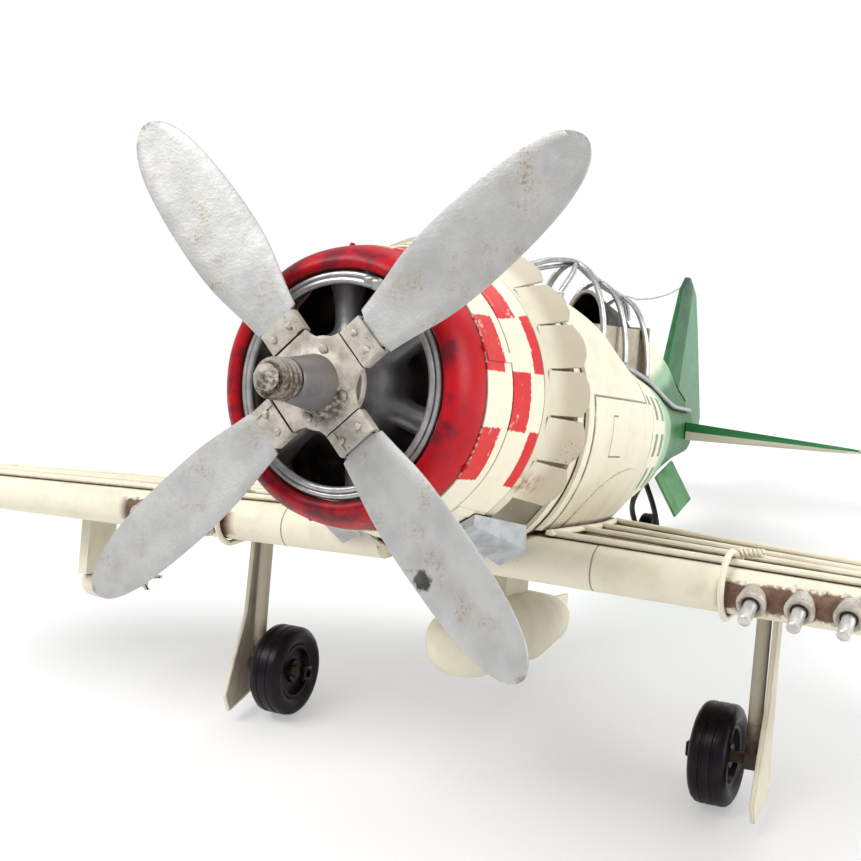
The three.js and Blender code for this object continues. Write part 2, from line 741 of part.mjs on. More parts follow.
// Height of the fuselage's lower face below a point of its plan.
function fuselageBottomZ(x, y) {
  const { half, belly } = fuselageAt(y);
  const share = Math.min(Math.abs(x) / half, 0.999);
  return FUSELAGE_AXIS_Z - (FUSELAGE_AXIS_Z - belly) * Math.sqrt(1 - share * share);
}

function cockpitOpening() {
  return block(
    vec(-COCKPIT_HALF_WIDTH, COCKPIT_START_Y, COCKPIT_FLOOR_Z),
    vec(COCKPIT_HALF_WIDTH, COCKPIT_END_Y, 60),
  );
}

const fuselageShell = (from, to, innerFrom, innerTo) =>
  fuselageBody(from, to, 0).subtract(fuselageBody(innerFrom, innerTo, -SHEET)).subtract(cockpitOpening());

const DECK_START_Y = COCKPIT_END_Y + GAP;
const DECK_END_Y = FUSELAGE_END_Y - 6;

// Shares of the spine's length, and there its half width and top height.
const DECK_SHAPE = [
  { at: 0, half: COCKPIT_HALF_WIDTH - GAP, top: 23.7 },
  { at: 0.3, half: 0.78 * COCKPIT_HALF_WIDTH, top: 21.5 },
  { at: 0.6, half: 0.5 * COCKPIT_HALF_WIDTH, top: 16.5 },
  { at: 0.85, half: 0.28 * COCKPIT_HALF_WIDTH, top: 10 },
  { at: 1, half: 0.2 * COCKPIT_HALF_WIDTH, top: 7 },
];

function deckHalfAt(y) {
  const share = (y - DECK_START_Y) / (DECK_END_Y - DECK_START_Y);
  return reading(DECK_SHAPE.map((row) => [row.at, row.half]), share);
}

// The rounded spine behind the cockpit, grown outwards.
function deckBody(grow) {
  const sections = DECK_SHAPE.map(({ at, half, top }) => {
    const y = THREE.MathUtils.lerp(DECK_START_Y - grow, DECK_END_Y + grow, at);
    const reach = half + grow;
    const points = [vec(reach, y, 0), vec(reach, y, 0.45 * top)];
    for (let i = 1; i < 12; i++) {
      const angle = (i * Math.PI) / 12;
      const rise = (0.55 * top + grow) * Math.sin(angle);
      points.push(vec(reach * Math.cos(angle), y, 0.45 * top + rise));
    }
    points.push(vec(-reach, y, 0.45 * top), vec(-reach, y, 0));
    return points;
  });
  return loft(sections);
}

// The spine standing on the rear fuselage.
function turtledeck() {
  return deckBody(0).subtract(fuselageBody(FUSELAGE_SEAM_Y, FUSELAGE_END_Y + 5, GAP));
}

// The strap round the front of the fuselage, ending just above each wing root.
function fuselageStrap() {
  const [from, to] = [STRAP_Y - STRAP_WIDTH / 2, STRAP_Y + STRAP_WIDTH / 2];
  const ring = fuselageBody(from, to, GAP + SHEET).subtract(fuselageBody(from - 1, to + 1, GAP));
  const below = block(vec(-60, from - 2, -60), vec(60, to + 2, WING_TOP_Z + 2 * GAP));
  return ring.subtract(below);
}

// The raised sheet on the side of the front fuselage, from the strap to the seam.
function sidePanel(side) {
  const from = STRAP_Y + STRAP_WIDTH / 2 + GAP;
  const to = FUSELAGE_SEAM_Y - 0.5;
  const skin = fuselageBody(from, to, GAP + SHEET).subtract(fuselageBody(from - 1, to + 1, GAP));
  const window = block(
    vec(side > 0 ? 1 : -60, from - 2, WING_TOP_Z + 2 * GAP),
    vec(side > 0 ? 60 : -1, to + 2, PANEL_TOP_Z),
  );
  return skin.intersect(window);
}

function makeFuselage() {
  const front = fuselageShell(
    FUSELAGE_START_Y,
    FUSELAGE_SEAM_Y,
    FUSELAGE_START_Y - 1,
    FUSELAGE_SEAM_Y + 1,
  );
  const rearStart = FUSELAGE_SEAM_Y + GAP;
  const rear = fuselageShell(rearStart, FUSELAGE_END_Y, rearStart - 1, FUSELAGE_END_Y - SHEET);
  add("fuselage_front", front, CREAM);
  add("fuselage_rear", rear, CREAM);
  add("turtledeck", turtledeck(), CREAM);
  add("fuselage_strap", fuselageStrap(), CREAM);
  for (const [name, side] of SIDES) {
    add(`side_panel_${name}`, sidePanel(side), CREAM);
  }
}

// ---------------------------------------------------------------- cockpit and canopy

// The dark floor, as wide as the shells inside it.
function cockpitFloor() {
  const from = COCKPIT_START_Y - 4;
  const to = COCKPIT_END_Y - 4;
  const inset = SHEET + GAP + 0.2;
  const section = (y) => {
    const reach = fuselageAt(y).half - inset;
    return [
      vec(-reach, y, COCKPIT_FLOOR_Z - SHEET),
      vec(reach, y, COCKPIT_FLOOR_Z - SHEET),
      vec(reach, y, COCKPIT_FLOOR_Z),
      vec(-reach, y, COCKPIT_FLOOR_Z),
    ];
  };
  const shared = [0, 0.25, 0.5, 0.75, 1].map((share) => THREE.MathUtils.lerp(from, to, share));
  return loft(shared.map(section)).intersect(fuselageBody(from, to, -SHEET - GAP));
}

// The seat: a cushion in the mouth of a hollow arched hood, which is open to the front and falls aft.
function pilotSeat() {
  const base = COCKPIT_FLOOR_Z + GAP;
  const half = CHEEK_X - 0.5;
  const arch = (y, inset) => {
    const top = THREE.MathUtils.mapLinear(y, HOOD_START_Y, HOOD_END_Y, HOOD_FRONT_TOP_Z, HOOD_BACK_TOP_Z);
    const reach = half - inset;
    const rise = 8 - inset;
    const points = [vec(reach, y, base + inset)];
    for (let i = 0; i <= 10; i++) {
      const angle = (i * Math.PI) / 10;
      points.push(vec(reach * Math.cos(angle), y, top - 8 + rise * Math.sin(angle)));
    }
    return [...points, vec(-reach, y, base + inset)];
  };
  const outer = loft([arch(HOOD_START_Y, 0), arch(HOOD_END_Y, 0)]);
  const inner = loft([arch(HOOD_START_Y - 1, SHEET), arch(HOOD_END_Y - SHEET, SHEET)]);
  const cushion = block(vec(-half + 1, HOOD_START_Y - 8, base), vec(half - 1, HOOD_START_Y + 4, base + 6));
  return joined([outer.subtract(inner), cushion]);
}

// The flat-topped plate that closes the cockpit at the back, folded forward into two cheeks.
function rearBulkhead() {
  const half = COCKPIT_HALF_WIDTH - GAP;
  const base = COCKPIT_FLOOR_Z + GAP;
  const back = COCKPIT_END_Y - 2 * GAP;
  const plate = block(vec(-half, back - SHEET, base), vec(half, back, BULKHEAD_TOP_Z));
  const hoopZ = lastHoopZ(CHEEK_X + SHEET);
  const outline = [
    [back, base],
    [back, hoopZ - CHEEK_HOOP_CLEARANCE],
    [CHEEK_START_Y + 8, BULKHEAD_TOP_Z - 2.3],
    [CHEEK_START_Y, fuselageTopZ(CHEEK_X, CHEEK_START_Y) - 1],
    [CHEEK_START_Y, base],
  ];
  const cheeks = SIDES.map(([, side]) => sidePlate(outline, side * CHEEK_X, side * (CHEEK_X + SHEET)));
  return joined([plate, ...cheeks]);
}

const RAIL_X = COCKPIT_HALF_WIDTH + WIRE_RADIUS;

// Height of a sill rail's axis: the rail rests on the fuselage beside the cockpit and the spine.
function railZ(x, y) {
  return fuselageTopZ(x - WIRE_RADIUS, y) + GAP + WIRE_RADIUS;
}

// Points along a sill rail, from the windscreen's corner to the fin, with one wherever the fuselage
// or the spine beside it bends.
function railPoints(side) {
  const bends = [
    ...FUSELAGE_SHAPE.map((row) => FUSELAGE_START_Y + row.at * FUSELAGE_LENGTH),
    ...DECK_SHAPE.map((row) => DECK_START_Y + row.at * (DECK_END_Y - DECK_START_Y)),
  ].filter((y) => y > COCKPIT_START_Y + 3 && y < DECK_END_Y - 3);
  const stations = [COCKPIT_START_Y, ...bends, DECK_END_Y].sort((a, b) => a - b);
  return stations.map((y) => {
    const x = y > COCKPIT_END_Y ? deckHalfAt(y) + GAP + WIRE_RADIUS + 0.1 : RAIL_X;
    return vec(side * x, y, railZ(x, y));
  });
}

// A sill rail: a wire that runs straight from point to point.
function sillRail(side) {
  const sections = railPoints(side).map((point) => {
    const ring = [];
    for (let i = 0; i < WIRE_SIDES; i++) {
      const angle = (i * 2 * Math.PI) / WIRE_SIDES;
      const reach = vec(Math.cos(angle), 0, Math.sin(angle)).multiplyScalar(WIRE_RADIUS);
      ring.push(point.clone().add(reach));
    }
    return ring;
  });
  return loft(sections);
}

// Height of the last hoop's axis at a distance from the middle.
function lastHoopZ(x) {
  const last = HOOP_STATIONS.length - 1;
  const foot = railZ(RAIL_X, HOOP_STATIONS[last]);
  return foot + (HOOP_TOPS[last] - foot) * Math.sqrt(1 - (x / RAIL_X) ** 2);
}

function hoopPoints(y, top) {
  const foot = railZ(RAIL_X, y);
  const points = [];
  for (let i = 0; i <= 8; i++) {
    const angle = (i * Math.PI) / 8;
    points.push(vec(RAIL_X * Math.cos(angle), y, foot + (top - foot) * Math.sin(angle)));
  }
  return points;
}

// The soldered wire cage: paired hoops and spine, the windscreen's two sloping posts, and the sill rails.
function canopyFrame() {
  const wires = HOOP_STATIONS.map((y, i) => wirePair(hoopPoints(y, HOOP_TOPS[i]), WIRE_RADIUS, 10));
  const front = COCKPIT_START_Y - 12;
  const spine = [
    vec(0, front, fuselageTopZ(0, front) + WIRE_RADIUS + GAP),
    vec(0, COCKPIT_START_Y, fuselageTopZ(0, COCKPIT_START_Y) + 5.2),
    vec(0, 0.5 * (COCKPIT_START_Y + HOOP_STATIONS[0]), HOOP_TOPS[0] - 1.4),
    ...HOOP_STATIONS.map((y, i) => vec(0, y, HOOP_TOPS[i])),
    vec(0, COCKPIT_END_Y + 1, DECK_SHAPE[0].top + 4.3),
    vec(0, COCKPIT_END_Y + 3, DECK_SHAPE[0].top + 1.2),
  ];
  wires.push(wirePair(spine, WIRE_RADIUS, 12));
  for (const [, side] of SIDES) {
    wires.push(sillRail(side));
    const corner = railPoints(side)[0];
    const apex = vec(0, HOOP_STATIONS[0], HOOP_TOPS[0]);
    const middle = corner.clone().add(apex).multiplyScalar(0.5).add(vec(side * 1.2, 0, 1.2));
    wires.push(wire([corner, middle, apex], WIRE_RADIUS, 3));
  }
  return largestPiece(joined(wires));
}

// The thin aerial wire, sagging from the back of the cage to the top of the fin.
function antennaWire() {
  const radius = 0.3;
  const start = vec(0, COCKPIT_END_Y - 1, HOOP_TOPS[2] + WIRE_RADIUS + GAP + radius - 0.8);
  const end = vec(0, finLeadingY(FIN_TOP_Z - 4) - GAP - 0.5, FIN_TOP_Z - 4);
  const points = [0, 0.25, 0.5, 0.75, 1].map((share) => {
    const sag = AERIAL_SAG * 4 * share * (1 - share);
    return start.clone().lerp(end, share).add(vec(0, 0, -sag));
  });
  return wire(points, radius, 10, 5);
}

function makeCockpit() {
  add("cockpit_floor", cockpitFloor(), BLACK);
  add("pilot_seat", pilotSeat(), BLACK);
  add("rear_bulkhead", rearBulkhead(), CREAM);
  add("canopy_frame", canopyFrame(), SILVER);
  add("antenna_wire", antennaWire(), GREY);
}

// ---------------------------------------------------------------- wings

const WING_ROOT_X = 6;
const EDGE_DROP = 0.4; // how far the top face falls towards the trailing edge

// How far the rounded tip has closed at a distance from the middle: 1 inboard, 0 at the tip.
function wingOpenShare(x) {
  const into = Math.max(0, x - (WING_TIP_X - WING_ROUND)) / WING_ROUND;
  return Math.sqrt(Math.max(0, 1 - into * into));
}

// Leading-edge axis and radius, trailing edge and top of the wing at a distance from the middle.
function wingAt(x) {
  const share = (x - WING_ROOT_X) / (WING_TIP_X - WING_ROOT_X);
  const trailing = THREE.MathUtils.lerp(WING_ROOT_TRAILING_Y, WING_TIP_TRAILING_Y, share);
  const radius = THREE.MathUtils.lerp(WING_LEADING_RADIUS, WING_TIP_LEADING_RADIUS, share);
  const open = wingOpenShare(x);
  const middle = 0.5 * (WING_LEADING_Y + trailing);
  return {
    leading: THREE.MathUtils.lerp(middle, WING_LEADING_Y, open),
    trailing: THREE.MathUtils.lerp(middle + 2, trailing, open),
    radius: Math.max(radius * (0.35 + 0.65 * open), 0.6),
    top: THREE.MathUtils.lerp(WING_TOP_Z, WING_TOP_Z - WING_DROOP, share),
  };
}

// Height of the wing's lower face.
function wingBottomZ(x, y) {
  const { leading, trailing, radius, top } = wingAt(x);
  const low = top - 2 * radius;
  return THREE.MathUtils.mapLinear(y, leading, trailing, low, top - EDGE_DROP - WING_EDGE);
}

// The wing's closed outline in the Y-Z plane: a round nose and two flat faces.
function wingSection(x, grow) {
  const { leading, trailing, radius, top } = wingAt(x);
  const centre = top - radius;
  const points = [];
  for (let i = 0; i <= 12; i++) {
    const angle = Math.PI / 2 + (i * Math.PI) / 12;
    points.push([
      leading + (radius + grow) * Math.cos(angle),
      centre + (radius + grow) * Math.sin(angle),
    ]);
  }
  const edge = top - EDGE_DROP;
  const end = trailing + (grow < 0 ? 4 * grow : grow);
  points.push([end, edge - WING_EDGE - grow * (grow < 0 ? -0.3 : 1)]);
  points.push([end, edge + grow * (grow < 0 ? 0.3 : 1)]);
  return points;
}

function wingBody(side, from, to, grow) {
  const tip = WING_TIP_X - WING_ROUND;
  const stations = [0.3, 0.55, 0.75, 0.9, 0.98].map((share) => tip + share * WING_ROUND);
  const between = [tip, ...stations].filter((x) => x > from + 1 && x < to - 1);
  const sections = [from, ...between, to].map((x) =>
    wingSection(x, grow).map(([y, z]) => vec(side * x, y, z)),
  );
  return loft(sections);
}

// A hollow folded wing, open where it meets the fuselage.
function wing(side) {
  const outer = wingBody(side, WING_ROOT_X, WING_TIP_X, 0);
  const inner = wingBody(side, WING_ROOT_X - 2, WING_TIP_X - WING_ROUND, -SHEET);
  const clear = fuselageBody(FUSELAGE_START_Y - 3, FUSELAGE_END_Y - 40, GAP);
  const inboard = block(vec(-11, 0, -60), vec(11, 200, 0));
  const shell = outer.subtract(inner).subtract(clear).subtract(inboard);
  return largestPiece(shell);
}

function largestPiece(made) {
  return made.decompose().reduce((a, b) => (b.volume() > a.volume() ? b : a));
}

// Height of the axis of a wire that lies on the wing's top face.
const ribWireZ = (x) => wingAt(x).top + GAP + RIB_WIRE_RADIUS;

// The wires laid along the top of a wing, tied by a wire along the root and one near the tip.
function wingWires(side) {
  const tipX = WING_TIP_X - WING_ROUND - 4;
  const chordY = (x, share) => {
    const { leading, trailing } = wingAt(x);
    return THREE.MathUtils.lerp(leading, trailing, share);
  };
  const crest = ribWireZ(20) + RIB_WIRE_RADIUS;
  const rootX = (y) => fuselageSideX(y, crest, GAP + SHEET) + GAP + RIB_WIRE_RADIUS;
  const onTop = (x, y) => vec(side * x, y, ribWireZ(x));
  const wires = RIB_WIRE_CHORD_SHARES.map((share) => {
    const start = chordY(20, share);
    const ends = [onTop(rootX(start), start), onTop(tipX, chordY(tipX, share))];
    return wire(ends, RIB_WIRE_RADIUS, 1, 6);
  });
  const lastShare = RIB_WIRE_CHORD_SHARES.at(-1);
  const rootYs = [0, 0.25, 0.5, 0.75, 1].map((t) => chordY(20, t * lastShare));
  const rootLine = rootYs.map((y) => onTop(rootX(y), y));
  wires.push(wire(rootLine, RIB_WIRE_RADIUS, 6, 6));
  const tipLine = [0, lastShare].map((share) => onTop(tipX, chordY(tipX, share)));
  wires.push(wire(tipLine, RIB_WIRE_RADIUS, 1, 6));
  return joined(wires);
}

// A wire hooked over the leading edge, passing outside the first wire on the wing.
function wingBand(side, x) {
  const radius = WIRE_RADIUS;
  const { leading, radius: nose, top } = wingAt(Math.abs(x));
  const high = ribWireZ(Math.abs(x)) + RIB_WIRE_RADIUS + GAP + radius;
  const low = top - 2 * nose - GAP - radius;
  const middle = 0.5 * (high + low);
  const reach = 0.5 * (high - low);
  const points = [vec(x, leading + 7, top + GAP + radius), vec(x, leading + 4.2, high - 0.9)];
  for (let i = 0; i <= 8; i++) {
    const angle = Math.PI / 2 + (i * Math.PI) / 8;
    points.push(vec(x, leading + 0.4 + reach * Math.cos(angle), middle + reach * Math.sin(angle)));
  }
  const under = leading + 8;
  points.push(vec(x, under, wingBottomZ(Math.abs(x), under) - GAP - radius - 0.2));
  return wire(points, radius, 14, 6);
}

// A gun: a rolled collar shaped to the leading edge, and a thin barrel out of it.
function gun(side, x) {
  const { leading, radius } = wingAt(x);
  const front = leading - radius;
  const body = turned(
    [
      [0, front - GUN_BARREL_REACH],
      [GUN_BARREL_RADIUS, front - GUN_BARREL_REACH],
      [GUN_BARREL_RADIUS, front - 1.6],
      [2, front - 1.6],
      [2.3, front - 0.9],
      [2.3, front + 3],
      [0, front + 3],
    ],
    12,
  );
  const droop = moved(0, front, 0)
    .multiply(new THREE.Matrix4().makeRotationX(GUN_DROOP))
    .multiply(moved(0, -front, 0));
  const placed = body.transform(moved(side * x, 0, GUN_Z).multiply(droop).elements);
  return largestPiece(placed.subtract(wingBody(side, x - 8, x + 8, GAP)));
}

function makeWings() {
  for (const [name, side] of SIDES) {
    add(`wing_${name}`, wing(side), CREAM);
    add(`wing_wires_${name}`, wingWires(side), CREAM);
    add(`wing_band_${name}`, wingBand(side, BAND_X[name]), CREAM);
    for (let i = 0; i < 3; i++) {
      add(`gun_${name}_${i + 1}`, gun(side, GUN_FIRST_X[name] + i * GUN_SPACING), SILVER);
    }
  }
}

// ---------------------------------------------------------------- landing gear

// A leg of wire-stiffened tube, bent at its foot into the wheel's axle with a small end cap.
function gearLeg(side) {
  const x = side * LEG_X;
  const top = wingBottomZ(LEG_X, LEG_Y - LEG_RADIUS) - GAP;
  const capEnd = MAIN_WHEEL_X - MAIN_WHEEL_WIDTH / 2 - GAP - 2;
  const strut = wire(
    [vec(x, LEG_Y, top), vec(x, LEG_Y + 0.3, -57), vec(x, MAIN_WHEEL_Y, MAIN_WHEEL_Z)],
    LEG_RADIUS,
    6,
    8,
  );
  const acrossX = new THREE.Matrix4().makeRotationZ(-Math.PI / 2);
  const rod = (from, to, radius) => {
    const cylinder = new THREE.CylinderGeometry(radius, radius, Math.abs(to - from), 12);
    const place = moved((side * (from + to)) / 2, MAIN_WHEEL_Y, MAIN_WHEEL_Z);
    return solid(cylinder, place.multiply(acrossX));
  };
  const axle = rod(capEnd, LEG_X + LEG_RADIUS, AXLE_RADIUS);
  const cap = rod(capEnd, capEnd + 1.7, 2);
  const boss = rod(LEG_X - 1.6, LEG_X + LEG_RADIUS, 2.1);
  return joined([strut, axle, cap, boss]);
}

// The flat cover plate outboard of a leg, widening into a leaf beside the wheel.
function gearDoor(side) {
  const inner = LEG_X + 2.1 + GAP;
  const top = wingBottomZ(LEG_X, LEG_Y - 2) - GAP - 0.2;
  const outline = [
    [LEG_Y - 1.8, top],
    [LEG_Y - 2.4, -54],
    [LEG_Y - 8.4, -72.4],
    [LEG_Y - 6.2, -76.4],
    [LEG_Y + 4.6, -71.6],
    [LEG_Y + 2.8, -56],
    [LEG_Y + 2, -48],
    [LEG_Y + 2, top],
  ];
  const above = loft(
    [0, 1].map((end) => {
      const x = side * (inner - 1 + end * 3);
      return [
        vec(x, LEG_Y - 9, wingBottomZ(LEG_X, LEG_Y - 9) - GAP),
        vec(x, LEG_Y + 9, wingBottomZ(LEG_X, LEG_Y + 9) - GAP),
        vec(x, LEG_Y + 9, 0),
        vec(x, LEG_Y - 9, 0),
      ];
    }),
  );
  return sidePlate(outline, side * inner, side * (inner + SHEET)).subtract(above);
}

// A wheel about the X axis with a grooved tread; its treads are flats, one of them facing the ground.
function wheel(radius, width, bore, tilt) {
  const crown = radius / Math.cos(Math.PI / WHEEL_SEGMENTS);
  const half = width / 2;
  const tread = 0.3 * width;
  const points = [
    [bore, -0.36 * width],
    [0.5 * radius, -0.3 * width],
    [0.78 * radius, -half],
    [0.94 * radius, -0.44 * width],
    [crown, -tread],
    [crown, tread],
    [0.94 * radius, 0.44 * width],
    [0.78 * radius, half],
    [0.5 * radius, 0.3 * width],
    [bore, 0.36 * width],
    [bore, -0.36 * width],
  ].map(([r, along]) => new THREE.Vector2(r, along));
  const lathe = new THREE.LatheGeometry(points, WHEEL_SEGMENTS);
  const onItsSide = new THREE.Matrix4().makeRotationZ(Math.PI / 2);
  const flatDown = new THREE.Matrix4().makeRotationX(tilt + Math.PI / WHEEL_SEGMENTS);
  return geometryOf(solid(lathe, flatDown.multiply(onItsSide)));
}

// Nose-up angle at which the main and tail wheels touch the same floor.
function groundAngle() {
  const [along, up] = [TAIL_WHEEL_Y - MAIN_WHEEL_Y, TAIL_WHEEL_Z - MAIN_WHEEL_Z];
  const reach = Math.hypot(along, up);
  return Math.atan2(up, along) + Math.asin((MAIN_WHEEL_RADIUS - TAIL_WHEEL_RADIUS) / reach);
}

const GROUND_ANGLE = groundAngle();
const TAIL_AXLE_RADIUS = 0.8;

// A forked wire that straddles the tail wheel; its ends are joined by the axle.
function tailFork() {
  const spread = TAIL_WHEEL_WIDTH / 2 + GAP + 0.8;
  const root = fuselageAt(TAIL_WHEEL_Y - 8).belly - GAP - 1;
  const prongs = [-1, 1].map((side) =>
    wire(
      [
        vec(0, TAIL_WHEEL_Y - 8, root),
        vec(side * spread, TAIL_WHEEL_Y - 7, TAIL_WHEEL_Z + TAIL_WHEEL_RADIUS + 2.5),
        vec(side * spread, TAIL_WHEEL_Y, TAIL_WHEEL_Z),
      ],
      TAIL_AXLE_RADIUS,
      8,
    ),
  );
  const foot = solid(new THREE.SphereGeometry(1, 8, 6), moved(0, TAIL_WHEEL_Y - 8, root));
  const axle = solid(
    new THREE.CylinderGeometry(TAIL_AXLE_RADIUS, TAIL_AXLE_RADIUS, 2 * spread + 2, 10),
    moved(0, TAIL_WHEEL_Y, TAIL_WHEEL_Z).multiply(new THREE.Matrix4().makeRotationZ(Math.PI / 2)),
  );
  return joined([...prongs, foot, axle]);
}

// One of the two splayed leaves beside the tail wheel.
function tailDoor(side) {
  const length = 14;
  const [hingeY, splay, drop] = [TAIL_WHEEL_Y - 13, 6, 10.5];
  const hingeX = 0.72 * fuselageAt(hingeY + length).half;
  const edge = (y) => vec(side * hingeX, y, fuselageBottomZ(hingeX, y) - GAP - 0.9);
  const outward = vec(side * splay, 2, -drop);
  const thickness = outward.clone().cross(vec(0, 1, 0)).normalize().multiplyScalar(SHEET);
  const corners = [edge(hingeY), edge(hingeY + length)];
  const leaf = [corners[0], corners[1], corners[1].clone().add(outward), corners[0].clone().add(outward)];
  return loft([leaf, leaf.map((p) => p.clone().add(thickness))]);
}

function makeLandingGear() {
  const mainWheel = wheel(MAIN_WHEEL_RADIUS, MAIN_WHEEL_WIDTH, AXLE_RADIUS + GAP, GROUND_ANGLE);
  for (const [name, side] of SIDES) {
    add(`gear_leg_${name}`, gearLeg(side), CREAM);
    add(`gear_door_${name}`, gearDoor(side), CREAM);
    const placed = moved(side * MAIN_WHEEL_X, MAIN_WHEEL_Y, MAIN_WHEEL_Z);
    add(`main_wheel_${name}`, solid(mainWheel, placed), TYRE_BLACK);
    add(`tail_door_${name}`, tailDoor(side), GREEN);
  }
  const small = wheel(TAIL_WHEEL_RADIUS, TAIL_WHEEL_WIDTH, TAIL_AXLE_RADIUS + GAP, GROUND_ANGLE);
  add("tail_fork", tailFork(), BLACK);
  add("tail_wheel", solid(small, moved(0, TAIL_WHEEL_Y, TAIL_WHEEL_Z)), TYRE_BLACK);
}

// ---------------------------------------------------------------- tail surfaces

const FIN_BASE_Z = -4;
const FIN_LEADING = [
  [FIN_BASE_Z, FUSELAGE_END_Y - 32],
  [17, FUSELAGE_END_Y - 28],
  [38.5, FUSELAGE_END_Y - 18.5],
  [FIN_TOP_Z, FUSELAGE_END_Y - 13],
];
const FIN_TRAILING = [
  [FIN_BASE_Z, FUSELAGE_END_Y + 13],
  [2, FUSELAGE_END_Y + 15],
  [38, FUSELAGE_END_Y - 0.5],
  [FIN_TOP_Z, FUSELAGE_END_Y - 8.5],
];

function finLeadingY(z) {
  return reading(FIN_LEADING, z);
}

// A folded fin: thickest a third of the way back and thin at its trailing edge.
function fin() {
  const sections = [FIN_BASE_Z, 2, 17, 28, 38.5, FIN_TOP_Z].map((z) => {
    const [front, back] = [reading(FIN_LEADING, z), reading(FIN_TRAILING, z)];
    const thick = THREE.MathUtils.mapLinear(z, FIN_BASE_Z, FIN_TOP_Z, 3.4, 1.4);
    const profile = [
      [0, 0.25],
      [0.06, 0.7],
      [0.35, 1],
      [0.7, 0.62],
      [1, 0.28],
    ];
    const half = (share) => (share * thick) / 2;
    const along = (share) => THREE.MathUtils.lerp(front, back, share);
    const port = profile.map(([at, share]) => vec(half(share), along(at), z));
    const starboard = profile.map(([at, share]) => vec(-half(share), along(at), z)).reverse();
    return [...port, ...starboard];
  });
  const clear = joined([fuselageBody(FUSELAGE_SEAM_Y, FUSELAGE_END_Y, GAP), deckBody(GAP)]);
  return largestPiece(loft(sections).subtract(clear));
}

// A tailplane half, lying against the tail of the fuselage and the foot of the fin.
function tailplane(side) {
  const sections = [
    [TAILPLANE_ROOT_X, 203, 229, -2.6, 5.4],
    [0.82 * TAILPLANE_TIP_X, 209, 226, -3.9, 2.2],
    [0.95 * TAILPLANE_TIP_X, 211.5, 224, -4.1, 1.6],
    [TAILPLANE_TIP_X, 215, 221, -4.2, 1.2],
  ].map(([x, front, back, z, thick]) => {
    const top = z + thick / 2;
    const low = z - thick / 2;
    return [
      vec(side * x, front, z),
      vec(side * x, front + 1.2, top),
      vec(side * x, back, z + 0.5),
      vec(side * x, back, z - 0.5),
      vec(side * x, front + 1.2, low),
    ];
  });
  const clear = fuselageBody(FUSELAGE_SEAM_Y, FUSELAGE_END_Y, GAP);
  return largestPiece(loft(sections).subtract(clear));
}

function makeTail() {
  add("tail_fin", fin(), GREEN);
  for (const [name, side] of SIDES) {
    add(`tailplane_${name}`, tailplane(side), GREEN);
  }
}

// ---------------------------------------------------------------- stores

// Tail fins along a store's axis: an upright plate, crossed by a level one where asked.
function tailFins(from, to, reach, thickness, crossed) {
  const slab = (a, b) =>
    loft(
      [-thickness / 2, thickness / 2].map((t) => [
        a.clone().setY(from).addScaledVector(b, t).addScaledVector(a, -0.55),
        a.clone().setY(from + 6).addScaledVector(b, t),
        a.clone().setY(to).addScaledVector(b, t),
        a.clone().negate().setY(to).addScaledVector(b, t),
        a.clone().negate().setY(from + 6).addScaledVector(b, t),
        a.clone().negate().setY(from).addScaledVector(b, t).addScaledVector(a, 0.55),
      ]),
    );
  const first = vec(reach, 0, 0);
  const second = vec(0, 0, reach);
  const upright = slab(second, vec(1, 0, 0));
  return crossed ? upright.add(slab(first, vec(0, 0, 1))) : upright;
}

// A streamlined store: a round body, its tail fins and the pylon up to what carries it.
function store({ x, z, radius, nose, tail, finReach, crossed, pylon, clearOf }) {
  const length = tail - nose;
  const body = turned(
    [
      [0, nose],
      [0.45 * radius, nose + 0.03 * length],
      [0.8 * radius, nose + 0.1 * length],
      [radius, nose + 0.22 * length],
      [radius, nose + 0.6 * length],
      [0.7 * radius, nose + 0.82 * length],
      [0.35 * radius, nose + 0.94 * length],
      [0, nose + 0.95 * length],
    ],
    20,
  );
  const fins = tailFins(nose + 0.78 * length, tail, finReach, SHEET, crossed);
  const placed = joined([body, fins]).translate([x, 0, z]);
  const post = block(
    vec(x - pylon.half, pylon.from, z + 0.5 * radius),
    vec(x + pylon.half, pylon.to, pylon.top),
  );
  return largestPiece(joined([placed, post]).subtract(clearOf));
}

function makeStores() {
  const tank = store({
    x: 0,
    z: TANK_Z,
    radius: TANK_RADIUS,
    nose: TANK_NOSE_Y,
    tail: TANK_TAIL_Y,
    finReach: 0.58 * TANK_RADIUS,
    crossed: false,
    pylon: { half: 1.8, from: 83, to: 96, top: FUSELAGE_AXIS_Z },
    clearOf: fuselageBody(FUSELAGE_START_Y, FUSELAGE_END_Y, GAP),
  });
  add("belly_tank", tank, CREAM);
  for (const [name, side] of SIDES) {
    const bomb = store({
      x: side * BOMB_X,
      z: BOMB_Z,
      radius: BOMB_RADIUS,
      nose: BOMB_NOSE_Y,
      tail: BOMB_TAIL_Y,
      finReach: 0.95 * BOMB_RADIUS,
      crossed: true,
      pylon: { half: 1.2, from: 57.5, to: 67, top: wingAt(BOMB_X).top - 1 },
      clearOf: wingBody(side, BOMB_X - 12, BOMB_X + 12, GAP),
    });
    add(`wing_bomb_${name}`, bomb, CREAM);
  }
}

// ---------------------------------------------------------------- the whole aeroplane

makePropeller();
makeFront();
makeFuselage();
makeCockpit();
makeWings();
makeLandingGear();
makeTail();
makeStores();

airframe.rotation.x = -GROUND_ANGLE;

const aeroplane = new THREE.Group();
aeroplane.add(airframe);
aeroplane.updateMatrixWorld(true);
const extent = new THREE.Box3().setFromObject(aeroplane, true);
airframe.position.set(0, -(extent.min.y + extent.max.y) / 2, -extent.min.z);

export default aeroplane;
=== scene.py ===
"""Looks for a hand-made sheet-metal propeller plane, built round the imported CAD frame.

Shapes are worked out in the airframe's own millimetres (X to port, Y aft, Z up, origin at the middle
of the propeller hub) and placed in the frame by AIRFRAME, which comes from the propeller's joint.
"""

import json
from math import asin, atan2, cos, pi, radians, sin, sqrt

import bmesh
import bpy
from mathutils import Matrix, Vector, noise


